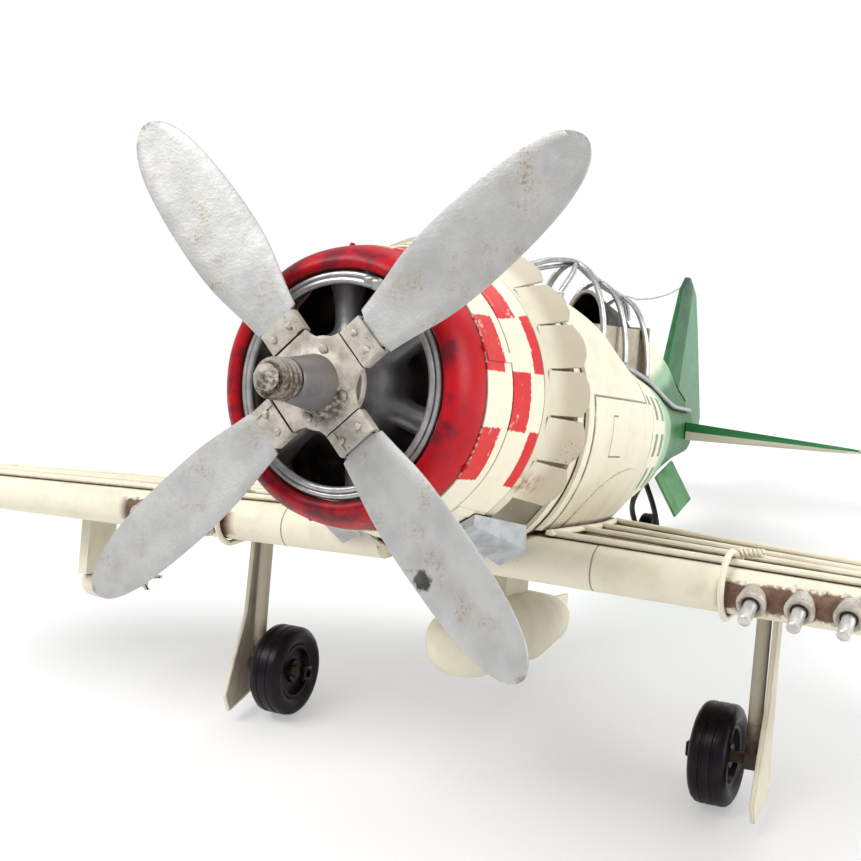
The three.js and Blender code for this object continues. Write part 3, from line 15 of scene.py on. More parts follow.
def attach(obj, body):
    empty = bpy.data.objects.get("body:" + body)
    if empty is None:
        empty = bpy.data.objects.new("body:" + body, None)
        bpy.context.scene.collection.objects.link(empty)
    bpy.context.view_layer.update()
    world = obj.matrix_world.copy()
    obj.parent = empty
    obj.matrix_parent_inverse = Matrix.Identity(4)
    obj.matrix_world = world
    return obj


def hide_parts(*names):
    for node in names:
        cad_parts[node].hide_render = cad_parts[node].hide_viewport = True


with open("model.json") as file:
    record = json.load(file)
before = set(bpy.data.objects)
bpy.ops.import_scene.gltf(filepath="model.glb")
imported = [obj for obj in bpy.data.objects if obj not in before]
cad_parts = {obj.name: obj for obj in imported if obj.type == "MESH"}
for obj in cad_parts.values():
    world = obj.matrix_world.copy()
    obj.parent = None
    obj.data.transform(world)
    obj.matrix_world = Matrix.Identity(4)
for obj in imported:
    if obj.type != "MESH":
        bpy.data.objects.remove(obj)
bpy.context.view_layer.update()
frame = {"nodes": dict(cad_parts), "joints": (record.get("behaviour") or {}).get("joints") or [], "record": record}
NODES = frame["nodes"]
BODIES = frame["record"]["behaviour"]["bodies"]

MM = 0.001
SPIN = next(joint for joint in frame["joints"] if joint["name"] == "propeller_spin")
TILT = atan2(SPIN["axis"][2], SPIN["axis"][1])
AIRFRAME = Matrix.Translation(SPIN["pos_m"]) @ Matrix.Rotation(TILT, 4, "X") @ Matrix.Scale(MM, 4)
SIDES = (("port", 1), ("starboard", -1))

# ---------------------------------------------------------------- camera, floor and lights

CAMERA_AT = Vector((114.7, -193.0, -2.0))
CAMERA_YAW = radians(25.96)
CAMERA_PITCH = radians(1.03)
CAMERA_ROLL = radians(5.2)
CAMERA_LENS = 57.74
CAMERA_SENSOR = 36
LAMP_AIM = Vector((0, 0, 0.06))
LAMPS = (
    # Name, place, diameter and power.
    ("key", (-0.35, -0.35, 0.75), 0.55, 6.0),
    ("side", (0.8, 0.0, 0.35), 0.5, 4.2),
    ("back", (0.1, 0.7, 0.6), 0.6, 2.5),
)
WHITE = (1, 1, 1, 1)
FILL_COLOUR, FILL_STRENGTH = (0.97, 0.98, 1.0, 1), 0.58
FLOOR_COLOUR, FLOOR_REACH = (0.86, 0.86, 0.86, 1), 6
# Where the floor starts and ends turning white, and how white it already is in the middle.
SHADOW_NEAR, SHADOW_FAR, SHADOW_FADE = 0.08, 0.42, 0.35


def make_camera():
    forward = Vector(
        (
            -sin(CAMERA_YAW) * cos(CAMERA_PITCH),
            cos(CAMERA_YAW) * cos(CAMERA_PITCH),
            -sin(CAMERA_PITCH),
        )
    )
    right = forward.cross(Vector((0, 0, 1))).normalized()
    up = right.cross(forward)
    rolled_right = right * cos(CAMERA_ROLL) + up * sin(CAMERA_ROLL)
    rolled_up = up * cos(CAMERA_ROLL) - right * sin(CAMERA_ROLL)
    turn = Matrix((rolled_right, rolled_up, -forward)).transposed().to_4x4()
    data = bpy.data.cameras.new("camera")
    data.lens = CAMERA_LENS
    data.sensor_width = CAMERA_SENSOR
    data.clip_start = 0.01
    data.clip_end = 20
    camera = bpy.data.objects.new("camera", data)
    place = Matrix.Translation(AIRFRAME @ CAMERA_AT)
    camera.matrix_world = place @ Matrix.Rotation(TILT, 4, "X") @ turn
    bpy.context.scene.collection.objects.link(camera)
    bpy.context.scene.camera = camera


def add_lamp(name, place, size, power):
    data = bpy.data.lights.new(name, "AREA")
    data.shape = "DISK"
    data.size = size
    data.energy = power
    lamp = bpy.data.objects.new(name, data)
    lamp.location = place
    lamp.rotation_euler = (LAMP_AIM - Vector(place)).to_track_quat("-Z", "Y").to_euler()
    bpy.context.scene.collection.objects.link(lamp)


def add_node(tree, kind, *sources, **settings):
    """A shader node whose inputs are fed in order from sockets or values; None leaves one alone."""
    node = tree.nodes.new("ShaderNode" + kind)
    for key, value in settings.items():
        setattr(node, key, value)
    for source, target in zip(sources, node.inputs):
        if isinstance(source, bpy.types.NodeSocket):
            tree.links.new(source, target)
        elif source is not None:
            target.default_value = source
    return node


def make_world():
    """White where the camera sees it, straight or through glass, and a gentle fill light otherwise."""
    world = bpy.data.worlds.new("studio")
    world.use_nodes = True
    tree = world.node_tree
    tree.nodes.clear()
    rays = add_node(tree, "LightPath").outputs
    seen_by = (rays["Is Camera Ray"], rays["Is Transmission Ray"])
    seen = add_node(tree, "Math", *seen_by, operation="MAXIMUM")
    fill = add_node(tree, "Background", FILL_COLOUR, FILL_STRENGTH)
    white = add_node(tree, "Background", WHITE, 1.0)
    choice = add_node(tree, "MixShader", seen.outputs[0], fill.outputs[0], white.outputs[0])
    add_node(tree, "OutputWorld", choice.outputs[0])
    bpy.context.scene.world = world


def make_floor():
    """A pale floor that keeps the shadow near the model and fades to white away from it."""
    corners = [(x * FLOOR_REACH, y * FLOOR_REACH, 0) for x, y in ((-1, -1), (1, -1), (1, 1), (-1, 1))]
    mesh = bpy.data.meshes.new("floor")
    mesh.from_pydata(corners, [], [(0, 1, 2, 3)])
    floor = bpy.data.objects.new("floor", mesh)
    bpy.context.scene.collection.objects.link(floor)
    material = bpy.data.materials.new("pale_floor")
    material.use_nodes = True
    tree = material.node_tree
    paint = tree.nodes["Principled BSDF"]
    paint.inputs["Base Color"].default_value = FLOOR_COLOUR
    paint.inputs["Roughness"].default_value = 0.6
    white = add_node(tree, "Emission", WHITE, 1.0)
    place = add_node(tree, "NewGeometry").outputs["Position"]
    away = add_node(tree, "VectorMath", place, operation="LENGTH").outputs["Value"]
    fading = (SHADOW_NEAR, SHADOW_FAR, SHADOW_FADE)
    fade = add_node(tree, "MapRange", away, *fading, interpolation_type="SMOOTHSTEP")
    camera_ray = add_node(tree, "LightPath").outputs["Is Camera Ray"]
    seen = add_node(tree, "Math", fade.outputs[0], camera_ray, operation="MULTIPLY")
    choice = add_node(tree, "MixShader", seen.outputs[0], paint.outputs[0], white.outputs[0])
    tree.links.new(choice.outputs[0], tree.nodes["Material Output"].inputs["Surface"])
    mesh.materials.append(material)


make_camera()
make_world()
make_floor()
for lamp_values in LAMPS:
    add_lamp(*lamp_values)
bpy.context.scene.view_settings.view_transform = "Standard"

# ---------------------------------------------------------------- materials

# Distance of each wing's innermost gun from the middle of the aeroplane.
GUN_FIRST_X = {"port": 62.8, "starboard": 51.4}
# X and Z of the burnt spot on one blade, and of the stain round the nose sleeve that also paints the sleeve's
# shadow to port and below.
BURNT_SPOT, NOSE_SHADOW_AND_STAIN = (21.4, -29.3), (1.9, -2.6)

CREAM = (0.78, 0.73, 0.58, 1)
# Cream darkened as painted shade, for cream parts that sit in shade.
SHADED_CREAM = (0.47, 0.41, 0.31, 1)
RED = (0.46, 0.002, 0.008, 1)
GREEN = (0.010, 0.125, 0.030, 1)
PALE_GREEN = (0.23, 0.42, 0.26, 1)
BLACK = (0.012, 0.011, 0.011, 1)
# Brown for painted shade in corners and under neighbours, and for grime, seams and scribed lines.
BROWN_GRIME_AND_SHADE = (0.085, 0.045, 0.02, 1)
DARK_WASH = (0.02, 0.014, 0.01, 1)
LIGHT_WASH = (0.42, 0.34, 0.20, 1)


def shaded(colour, share):
    return [channel * share for channel in colour[:3]] + [1]


class Paint:
    """One procedural material, with its patterns measured in airframe millimetres."""

    def __init__(self, name, slot, metallic=0.0):
        self.material = bpy.data.materials.new(name)
        self.material.use_nodes = True
        self.material["slot"] = slot
        self.tree = self.material.node_tree
        self.shader = self.tree.nodes["Principled BSDF"]
        self.shader.inputs["Metallic"].default_value = metallic
        self.shader.inputs["Specular IOR Level"].default_value = 0.22
        place = self.node("TexCoord").outputs["Object"]
        airframe = (SPIN["pos_m"], (TILT, 0, 0), (MM, MM, MM))
        self.place = self.node("Mapping", place, *airframe, vector_type="TEXTURE").outputs["Vector"]
        self.x, self.y, self.z = self.node("SeparateXYZ", self.place).outputs

    def node(self, kind, *sources, **settings):
        return add_node(self.tree, kind, *sources, **settings)

    def wire(self, name, source):
        self.tree.links.new(source, self.shader.inputs[name])

    def math(self, operation, *values):
        return self.node("Math", *values, operation=operation).outputs[0]

    def noise(self, size, detail=4.0, stretch=None):
        """Noise with features of about the given size."""
        place = self.place
        if stretch:
            place = self.node("VectorMath", place, stretch, operation="MULTIPLY").outputs[0]
        return self.node("TexNoise", place, None, 1 / size, detail, 0.6).outputs["Fac"]

    def ragged(self, value, size, amount, detail=4.0):
        """A value raised by up to an amount where noise of a size is high."""
        return self.math("MULTIPLY_ADD", self.noise(size, detail), amount, value)

    def away(self, x, z):
        """Distance from a fore-and-aft line."""
        across = self.math("POWER", self.math("SUBTRACT", self.x, x), 2.0)
        up = self.math("POWER", self.math("SUBTRACT", self.z, z), 2.0)
        return self.math("SQRT", self.math("ADD", across, up))

    def step(self, value, low, high):
        """0 below low, 1 above high and smooth between, or falling where low is above high."""
        ends = (0.0, 1.0) if low <= high else (1.0, 0.0)
        limits = (min(low, high), max(low, high), *ends)
        return self.node("MapRange", value, *limits, interpolation_type="SMOOTHSTEP").outputs[0]

    def near(self, value, centre, half, soft):
        """1 within half of centre, fading out over soft."""
        off = self.math("ABSOLUTE", self.math("SUBTRACT", value, centre))
        return self.step(off, half + soft, half)

    def patches(self, size, detail, low, high):
        """1 where noise of a size is above high, 0 where it is below low."""
        return self.step(self.noise(size, detail), low, high)

    def chain(self, operation, first, *others):
        for other in others:
            first = self.math(operation, first, other)
        return first

    def both(self, *masks):
        return self.chain("MULTIPLY", *masks)

    def either(self, *masks):
        return self.chain("MAXIMUM", *masks)

    def mix(self, share, first, second):
        skipped = [None] * 5
        return self.node("Mix", share, *skipped, first, second, data_type="RGBA").outputs[2]

    def over(self, colour, tint, *masks):
        """A tint laid over a colour where every mask is; a number is a share of full strength."""
        return self.mix(self.both(*masks), colour, tint)

    def mottled(self, size, first, second, low=0.35, high=0.7, detail=4.0):
        """A colour broken up by patches of another."""
        return self.mix(self.patches(size, detail, low, high), first, second)

    def crevices(self, reach):
        """1 deep in a corner or under a neighbour within reach, 0 on open faces."""
        node = self.node("AmbientOcclusion", None, reach * MM, samples=6)
        return self.math("SUBTRACT", 1.0, node.outputs["AO"])

    def spots(self, size, amount):
        """Small scattered specks; amount is the share of the surface they take."""
        fine = self.noise(size, 2.0)
        broad = self.noise(size * 9, 2.0)
        level = self.math("MULTIPLY_ADD", broad, 0.35, fine)
        edge = 0.975 - 0.9 * amount
        return self.step(level, edge, edge + 0.035)

    def finish(
        self, colour, shade_and_grime_share, reach=1.3, roughness=0.45, grain=0.3, size=0.45, specks=0.02, cloud=0.22
    ):
        """Adds painted shade with brown grime in the corners and under neighbours, specks on the faces, then
        grain, and wires the shader.
        """
        if cloud:
            colour = self.over(colour, LIGHT_WASH, self.patches(6.0, 3.0, 0.45, 0.75), cloud)
        # Painted shade with grime: brown where occlusion finds corners and neighbouring parts.
        grime_and_shade = self.step(self.ragged(self.crevices(reach), 1.6, 0.35), 0.45, 0.85)
        colour = self.over(colour, BROWN_GRIME_AND_SHADE, grime_and_shade, shade_and_grime_share)
        colour = self.over(colour, DARK_WASH, self.spots(0.35, specks), 0.75)
        self.wire("Base Color", colour)
        varied = self.ragged(roughness - 0.12, 1.1, 0.25)
        self.wire("Roughness", self.either(varied, self.both(grime_and_shade, 0.7)))
        bump = self.node("Bump")
        bump.inputs["Strength"].default_value = grain
        bump.inputs["Distance"].default_value = 0.0001
        height = self.math("MULTIPLY_ADD", self.noise(size, 3.0), 0.6, self.noise(size * 6, 2.0))
        self.tree.links.new(height, bump.inputs["Height"])
        self.wire("Normal", bump.outputs[0])
        return self.material


def cream_paint():
    return Paint("cream_paint", "cream_paint").finish(CREAM, shade_and_grime_share=0.9)


def red_paint():
    """Glossy red, darker in patches inside the mouth and on the underside."""
    paint = Paint("red_paint", "red_paint")
    inside = paint.step(paint.y, 8.6, 6.2)
    below = paint.step(paint.z, -12.0, -22.0)
    where = paint.either(paint.both(inside, 0.6), paint.both(below, 0.75))
    shade = paint.mottled(9.0, RED, (0.34, 0.002, 0.008, 1), 0.4)
    colour = paint.over(shade, (0.03, 0.006, 0.02, 1), paint.patches(5.0, 5.0, 0.44, 0.58), where)
    return paint.finish(colour, shade_and_grime_share=0.85, reach=1.0, roughness=0.4, specks=0.015, cloud=0.0)


def cowl_paint():
    """Cream with three rows of hand-painted red blocks."""
    paint = Paint("cowl_paint", "cream_paint")
    ragged = paint.ragged(-0.5, 0.8, 1.0, 5.0)
    angle = paint.math("DIVIDE", paint.math("ARCTAN2", paint.z, paint.x), radians(45))
    angle = paint.math("MULTIPLY_ADD", ragged, 0.05, angle)
    along = paint.math("ADD", paint.y, ragged)
    blocks = []
    for centre, half, shift in ((16.0, 3.2, 0.0), (24.4, 2.6, 0.5), (29.9, 1.7, 0.0)):
        turn = paint.math("FRACT", paint.math("ADD", angle, shift + 8))
        around = paint.near(turn, 0.5, 0.25, 0.012)
        if shift:
            around = paint.both(around, paint.step(angle, -0.6, -0.55))
        blocks.append(paint.both(around, paint.near(along, centre, half, 0.12)))
    masks = (paint.either(*blocks), paint.patches(2.2, 6.0, 0.28, 0.4), 0.97)
    colour = paint.over(CREAM, (0.60, 0.010, 0.018, 1), *masks)
    return paint.finish(colour, shade_and_grime_share=0.95, reach=1.4, cloud=0.08)


def petal_paint():
    """Cream at the root turning beige towards the tip as painted shade, with a rust stain low on the side and soot
    specks just above it.
    """
    paint = Paint("petal_paint", "cream_paint")
    angle = paint.math("ARCTAN2", paint.z, paint.math("ABSOLUTE", paint.x))
    low = paint.near(angle, radians(-31), radians(1.5), radians(5))
    low = paint.both(low, paint.near(paint.y, 34.5, 1.0, 4.0))
    # Painted shade: the petals darken from root to tip, as if facing down and away from the light.
    shade = paint.mix(paint.step(paint.y, 33.5, 38.5), (0.66, 0.61, 0.48, 1), SHADED_CREAM)
    colour = paint.over(shade, (0.22, 0.065, 0.02, 1), paint.patches(1.6, 6.0, 0.3, 0.7), low, 0.9)
    soot_at = paint.near(angle, radians(-16), radians(2), radians(5))
    soot = paint.both(paint.patches(0.5, 5.0, 0.58, 0.64), soot_at, 0.8)
    colour = paint.over(colour, DARK_WASH, soot, paint.near(paint.y, 41, 1.5, 2))
    return paint.finish(colour, shade_and_grime_share=0.9, reach=1.6)


def front_fuselage_paint():
    """Cream with scribed panel lines on each side and grime along the seams."""
    paint = Paint("front_fuselage_paint", "cream_paint")
    scribed = [
        paint.both(paint.near(paint.y, 63.5, 0.12, 0.12), paint.near(paint.z, -4.8, 4.0, 0.1)),
        paint.both(paint.near(paint.z, -8.8, 0.12, 0.12), paint.near(paint.y, 67.5, 4.0, 0.1)),
        paint.both(paint.near(paint.z, -0.8, 0.12, 0.12), paint.near(paint.y, 65.0, 1.5, 0.1)),
    ]
    colour = paint.over(CREAM, BROWN_GRIME_AND_SHADE, paint.either(*scribed), 0.8)
    grime = paint.patches(2.5, 5.0, 0.2, 0.5)
    seams = paint.either(paint.near(paint.y, 100.7, 0.6, 0.5), paint.near(paint.y, 51.9, 0.25, 0.5))
    ledge = paint.both(paint.near(paint.z, 2.75, 0.14, 0.16), paint.step(paint.y, 51, 52))
    grime_and_shade = paint.either(paint.both(seams, grime, 0.8), paint.both(ledge, 0.75))
    return paint.finish(paint.mix(grime_and_shade, colour, BROWN_GRIME_AND_SHADE), shade_and_grime_share=0.95, reach=1.6)


def rear_fuselage_paint():
    """Cream that fades into a green tail, with rows of green louvre dashes."""
    paint = Paint("rear_fuselage_paint", "cream_paint")
    above = paint.math("MAXIMUM", paint.math("SUBTRACT", paint.z, 6.0), 0.0)
    spray = paint.math("MULTIPLY_ADD", above, -4.0, paint.ragged(paint.y, 7.0, 14.0))
    colour = paint.mix(paint.step(spray, 133, 152), CREAM, PALE_GREEN)
    colour = paint.mix(paint.step(spray, 160, 178), colour, GREEN)
    columns = [paint.near(paint.y, *dash, 0.5) for dash in ((107, 1.8), (117, 2.4), (129, 3))]
    rows = [paint.near(paint.z, centre, 2.5, 0.3) for centre in (2.0, -6.5, -14.5)]
    worn = paint.patches(1.5, 4.0, 0.3, 0.45)
    colour = paint.over(colour, GREEN, paint.either(*columns), paint.either(*rows), worn, 0.85)
    colour = paint.over(colour, BROWN_GRIME_AND_SHADE, paint.near(paint.y, 101.4, 0.3, 0.3), 0.8)
    return paint.finish(colour, shade_and_grime_share=0.9, reach=1.6, cloud=0.08)


def green_paint(name, colour, dark_tip):
    """Mottled green; the fin also has a dark tip, a paler aft part as painted light, and bare patches."""
    paint = Paint(name, "green_paint")
    shade = paint.mottled(8.0, colour, shaded(colour, 0.55))
    if dark_tip:
        shade = paint.over(shade, (0.02, 0.05, 0.03, 1), paint.step(paint.z, 36, 41), 0.8)
        # Painted light: the aft part of the fin is paler, standing in for a folded rear facet that catches more
        # light.
        aft = paint.math("MULTIPLY_ADD", paint.z, -0.3, paint.y)
        shade = paint.over(shade, PALE_GREEN, paint.step(aft, 199.5, 200.5), 0.45)
        shade = paint.over(shade, PALE_GREEN, paint.patches(2.5, 6.0, 0.66, 0.74), 0.4)
    return paint.finish(shade, shade_and_grime_share=0.8, reach=1.4, roughness=0.42, cloud=0.0)


def tailplane_paint():
    """Green above and cream below, with a ragged join along the leading edge."""
    paint = Paint("tailplane_paint", "green_paint")
    normal = paint.node("NewGeometry").outputs["Normal"]
    ragged = paint.ragged(paint.node("SeparateXYZ", normal).outputs[2], 6.0, 0.3, 3.0)
    colour = paint.mix(paint.step(ragged, 0.1, 0.2), (0.60, 0.55, 0.43, 1), GREEN)
    return paint.finish(colour, shade_and_grime_share=0.8, reach=1.4, cloud=0.0)


def wing_paint():
    """Cream, burnt brown round the guns, and streaked brown between the top wires, where finish also lays painted
    shade with grime.
    """
    paint = Paint("wing_paint", "cream_paint")
    offset = 0.5 * (GUN_FIRST_X["port"] - GUN_FIRST_X["starboard"])
    gun_middle = paint.math("ABSOLUTE", paint.math("ADD", paint.x, -offset))
    gun_middle = paint.math("ADD", gun_middle, offset)
    height = paint.math("ADD", paint.z, paint.ragged(-1.5, 1.2, 3.0, 6.0))
    ahead = paint.step(paint.y, 51.0, 49.0)
    guns = (paint.near(height, -30.1, 2.0, 0.9), paint.near(gun_middle, 71, 12.5, 3.0), ahead)
    burnt = paint.mottled(1.5, (0.045, 0.015, 0.006, 1), (0.15, 0.05, 0.018, 1), 0.3)
    colour = paint.over(CREAM, burnt, *guns, 0.93)
    lap = paint.near(paint.ragged(paint.math("ABSOLUTE", paint.x), 9.0, 0.5), 33.4, 0.1, 0.12)
    colour = paint.over(colour, BROWN_GRIME_AND_SHADE, lap, 0.7)
    streak = paint.step(paint.noise(1.2, 5.0, stretch=(0.12, 1.0, 1.0)), 0.34, 0.56)
    colour = paint.over(colour, BROWN_GRIME_AND_SHADE, paint.step(paint.y, 50, 54), streak, 0.85)
    return paint.finish(colour, shade_and_grime_share=0.97, reach=1.8)


def blade_metal():
    """Silver-grey with brown freckles, worn tips and a burnt spot on one blade's edge."""
    paint = Paint("blade_metal", "silver_metal", metallic=0.5)
    silver = paint.mottled(7.0, (0.50, 0.50, 0.49, 1), (0.42, 0.415, 0.40, 1))
    rust = (paint.patches(6.0, 5.0, 0.5, 0.72), paint.patches(0.5, 4.0, 0.5, 0.62))
    colour = paint.over(silver, (0.17, 0.11, 0.07, 1), *rust, 0.6)
    worn = paint.ragged(paint.away(0.0, 0.0), 1.2, 4.0)
    colour = paint.over(colour, (0.10, 0.06, 0.04, 1), paint.step(worn, 59.0, 60.2), 0.6)
    burn = paint.ragged(paint.away(*BURNT_SPOT), 1.0, 2.0)
    colour = paint.over(colour, (0.012, 0.009, 0.008, 1), paint.step(burn, 3.0, 2.2), 0.9)
    return paint.finish(
        colour, shade_and_grime_share=0.75, reach=1.0, roughness=0.52, grain=1.0, size=0.5, specks=0.035
    )


def soldered_metal(name="soldered_metal", worn=0.0):
    """Creamy solder-tinned metal, pitted all over, and stained brown round the nose sleeve with the sleeve's
    painted shadow to port and below.
    """
    paint = Paint(name, "soldered_metal", metallic=0.25)
    light, dull = [shaded(tone, 1 - 0.4 * worn) for tone in ((0.56, 0.52, 0.46), (0.36, 0.33, 0.28))]
    stain = paint.patches(0.8, 6.0, 0.62 - 0.16 * worn, 0.74)
    colour = paint.over(paint.mottled(2.5, light, dull), (0.09, 0.045, 0.025, 1), stain, 0.7)
    # Painted shadow with stain: dark brown round a point to port of and below the nose sleeve, where its shadow
    # falls.
    around = (paint.step(paint.away(*NOSE_SHADOW_AND_STAIN), 5.0, 3.0), paint.patches(0.8, 6.0, 0.3, 0.6))
    colour = paint.over(colour, (0.05, 0.022, 0.012, 1), *around, 0.85)
    return paint.finish(
        colour, shade_and_grime_share=0.97, reach=1.2, roughness=0.5, grain=0.6, size=0.4, specks=0.09
    )


def plain_metal(name, slot, colour, metallic, roughness, shade_and_grime_share=0.85, grain=0.3):
    paint = Paint(name, slot, metallic=metallic)
    shade = paint.mottled(3.0, colour, shaded(colour, 0.72))
    return paint.finish(shade, shade_and_grime_share=shade_and_grime_share, reach=1.2, roughness=roughness, grain=grain, specks=0.03)


def leg_paint():
    """Worn cream that turns dark brown towards the wheel."""
    paint = Paint("leg_paint", "cream_paint")
    low = paint.step(paint.ragged(paint.z, 3.0, 10.0), -50, -58)
    colour = paint.mix(low, (0.56, 0.51, 0.40, 1), (0.10, 0.07, 0.05, 1))
    return paint.finish(colour, shade_and_grime_share=0.9, grain=0.4, specks=0.08)


def door_paint():
    """Grey-brown inside, cream at the edges and outside."""
    paint = Paint("door_paint", "cream_paint")
    inner = paint.step(paint.math("ABSOLUTE", paint.x), 60.9, 60.6)
    streak = paint.step(paint.noise(2.0, 5.0, stretch=(1.0, 1.0, 0.3)), 0.3, 0.7)
    dull = paint.mix(streak, (0.36, 0.31, 0.24, 1), (0.52, 0.47, 0.38, 1))
    return paint.finish(paint.mix(inner, CREAM, dull), shade_and_grime_share=0.9, grain=0.4, specks=0.06)


def mount_paint():
    """Black inside the cowl, and cream where it shows behind the petals."""
    paint = Paint("mount_paint", "black_paint")
    return paint.finish(paint.mix(paint.step(paint.y, 31.0, 32.0), BLACK, CREAM), shade_and_grime_share=0.2)


def hood_paint():
    """Painted shadow: near-black behind the mouth, inside and out, standing in for the shade within the hood, with
    a grey rim at the mouth.
    """
    paint = Paint("hood_paint", "grey_paint")
    rim = paint.step(paint.ragged(paint.y, 2.0, 1.5), 123.4, 122.4)
    return paint.finish(paint.mix(rim, (0.008, 0.006, 0.008, 1), (0.34, 0.31, 0.26, 1)), shade_and_grime_share=0.6)


def rubber():
    """Black with a little pale dust."""
    paint = Paint("rubber", "tyre")
    black, worn = (0.003, 0.0015, 0.003, 1), (0.008, 0.004, 0.008, 1)
    shade = paint.mottled(2.5, black, worn, 0.4, 0.75, 5.0)
    shade = paint.over(shade, (0.16, 0.14, 0.13, 1), paint.patches(0.9, 6.0, 0.68, 0.74), 0.3)
    return paint.finish(shade, shade_and_grime_share=0.1, reach=0.8, roughness=0.32, specks=0.0, cloud=0.0)


LOOKS = {
    "cream": cream_paint(),
    "red": red_paint(),
    "cowl": cowl_paint(),
    "petal": petal_paint(),
    "front_fuselage": front_fuselage_paint(),
    "rear_fuselage": rear_fuselage_paint(),
    "fin": green_paint("fin_paint", GREEN, True),
    "tail_door": green_paint("tail_door_paint", (0.12, 0.29, 0.13, 1), False),
    "tailplane": tailplane_paint(),
    "wing": wing_paint(),
    "blade": blade_metal(),
    "solder": soldered_metal(),
    "sleeve": plain_metal("sleeve_grey", "grey_paint", (0.17, 0.165, 0.165, 1), 0.35, 0.45),
    "wire": plain_metal("silver_wire", "silver_metal", (0.50, 0.50, 0.50, 1), 0.75, 0.36),
    "gunmetal": plain_metal("gunmetal", "casting", (0.20, 0.20, 0.205, 1), 0.6, 0.38, grain=0.35),
    "dark": plain_metal("dark_interior", "black_paint", BLACK, 0.0, 0.7),
    "black": plain_metal("black_wire", "black_paint", (0.02, 0.018, 0.018, 1), 0.1, 0.5),
    "hood": hood_paint(),
    "mount": mount_paint(),
    "coil": soldered_metal("coil_metal", 1.0),
    # Painted shade: cream darkened for the rear bulkhead inside the cockpit.
    "shaded_cream": plain_metal("shaded_cream_paint", "cream_paint", SHADED_CREAM, 0.0, 0.5),
    "sheet": plain_metal("blue_grey_sheet", "blue_grey_sheet", (0.50, 0.53, 0.55, 1), 0.45, 0.4),
    "barrel": plain_metal("gun_metal", "silver_metal", (0.66, 0.64, 0.61, 1), 0.6, 0.42, shade_and_grime_share=0.9),
    "leg": leg_paint(),
    "door": door_paint(),
    "rubber": rubber(),
}

# ---------------------------------------------------------------- mesh helpers


def finish_piece(name, mesh, look, body, replaces, crease):
    """Welds, shades and paints a mesh, and sets it on its body."""
    work = bmesh.new()
    work.from_mesh(mesh)
    bmesh.ops.remove_doubles(work, verts=work.verts, dist=2e-6)
    bmesh.ops.dissolve_degenerate(work, edges=work.edges, dist=1e-7)
    bmesh.ops.recalc_face_normals(work, faces=work.faces)
    work.to_mesh(mesh)
    work.free()
    for polygon in mesh.polygons:
        polygon.use_smooth = True
    mesh.set_sharp_from_angle(angle=radians(crease))
    mesh.materials.clear()
    mesh.materials.append(LOOKS[look])
    piece = bpy.data.objects.new(name, mesh)
    bpy.context.scene.collection.objects.link(piece)
    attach(piece, body)
    if replaces:
        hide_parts(*replaces)
    return piece


def mesh_piece(name, points, faces, look, body="airframe", replaces=(), crease=35):
    """A named piece from points in airframe millimetres."""
    mesh = bpy.data.meshes.new(name)
    mesh.from_pydata([AIRFRAME @ Vector(point) for point in points], [], faces)
    return finish_piece(name, mesh, look, body, replaces, crease)


def soften(piece, width):
    """Rounds a piece's sharp edges by a width in millimetres."""
    bevel = piece.modifiers.new("rounded edges", "BEVEL")
    bevel.width = width * MM
    bevel.segments = 2
    bevel.limit_method = "ANGLE"
    bevel.angle_limit = radians(35)


def refined(node, look, round_by=0.15, crease=35):
    """The CAD node's own shape with its flat faces merged and its edges rounded."""
    mesh = NODES[node].data.copy()
    mesh.name = node + "_skin"
    work = bmesh.new()
    work.from_mesh(mesh)
    bmesh.ops.remove_doubles(work, verts=work.verts, dist=2e-6)
    flat = radians(0.5)
    bmesh.ops.dissolve_limit(work, angle_limit=flat, verts=work.verts, edges=work.edges)
    work.to_mesh(mesh)
    work.free()
    if mesh.attributes.get("custom_normal"):
        mesh.attributes.remove(mesh.attributes["custom_normal"])
    body = next(name for name, members in BODIES.items() if node in members)
    piece = finish_piece(node + "_skin", mesh, look, body, [node], crease)
    if round_by:
        soften(piece, round_by)


def spread(start, end, count):
    """Evenly spaced values from start to end, with count steps between them."""
    return [start + (end - start) * i / count for i in range(count + 1)]


def turns(count):
    """Evenly spaced angles round a full turn."""
    return [2 * pi * i / count for i in range(count)]


def bumps(x, y, z):
    """Smooth noise at a place."""
    return noise.noise(Vector((x, y, z)))


def smooth_step(share):
    return share * share * (3 - 2 * share)


def loop_faces(rows, size, closed=False):
    """Faces between neighbouring rows of points, where each row is a closed loop."""
    faces = []
    for row in range(rows if closed else rows - 1):
        here, there = row * size, (row + 1) % rows * size
        for i in range(size):
            j = (i + 1) % size
            faces.append((here + i, here + j, there + j, there + i))
    return faces


def lathe(profile, segments=96, centre=(0, 0), wobble=0.0, closed=True):
    """Points and faces of a turned shape about the fore-and-aft line through centre."""
    points = []
    for radius, y in profile:
        for angle in turns(segments):
            across, up = cos(angle), sin(angle)
            reach = radius
            if wobble and radius > 0:
                reach += wobble * bumps(across * 3, y * 0.12, up * 3)
            points.append((centre[0] + reach * across, y, centre[1] + reach * up))
    return points, loop_faces(len(profile), segments, closed)


def loft(sections, capped=True):
    """Points and faces of a skin over closed sections with the same number of points."""
    size = len(sections[0])
    points = [point for section in sections for point in section]
    faces = loop_faces(len(sections), size)
    if capped:
        faces.append(tuple(range(size)))
        faces.append(tuple(range(len(points) - size, len(points))))
    return points, faces


def rounded_path(points, steps=8):
    """Extra points on a smooth curve through the given ones."""
    points = [Vector(point) for point in points]
    ends = [2 * points[0] - points[1], *points, 2 * points[-1] - points[-2]]
    path = []
    for a, b, c, d in zip(ends, ends[1:], ends[2:], ends[3:]):
        for step in range(steps):
            t = step / steps
            point = 2 * b + (c - a) * t
            point += (2 * a - 5 * b + 4 * c - d) * t * t
            point += (3 * b - a - 3 * c + d) * t * t * t
            path.append(0.5 * point)
    path.append(points[-1])
    return path


def circle(radius, y, count):
    return [(radius * cos(a), y, radius * sin(a)) for a in turns(count)]


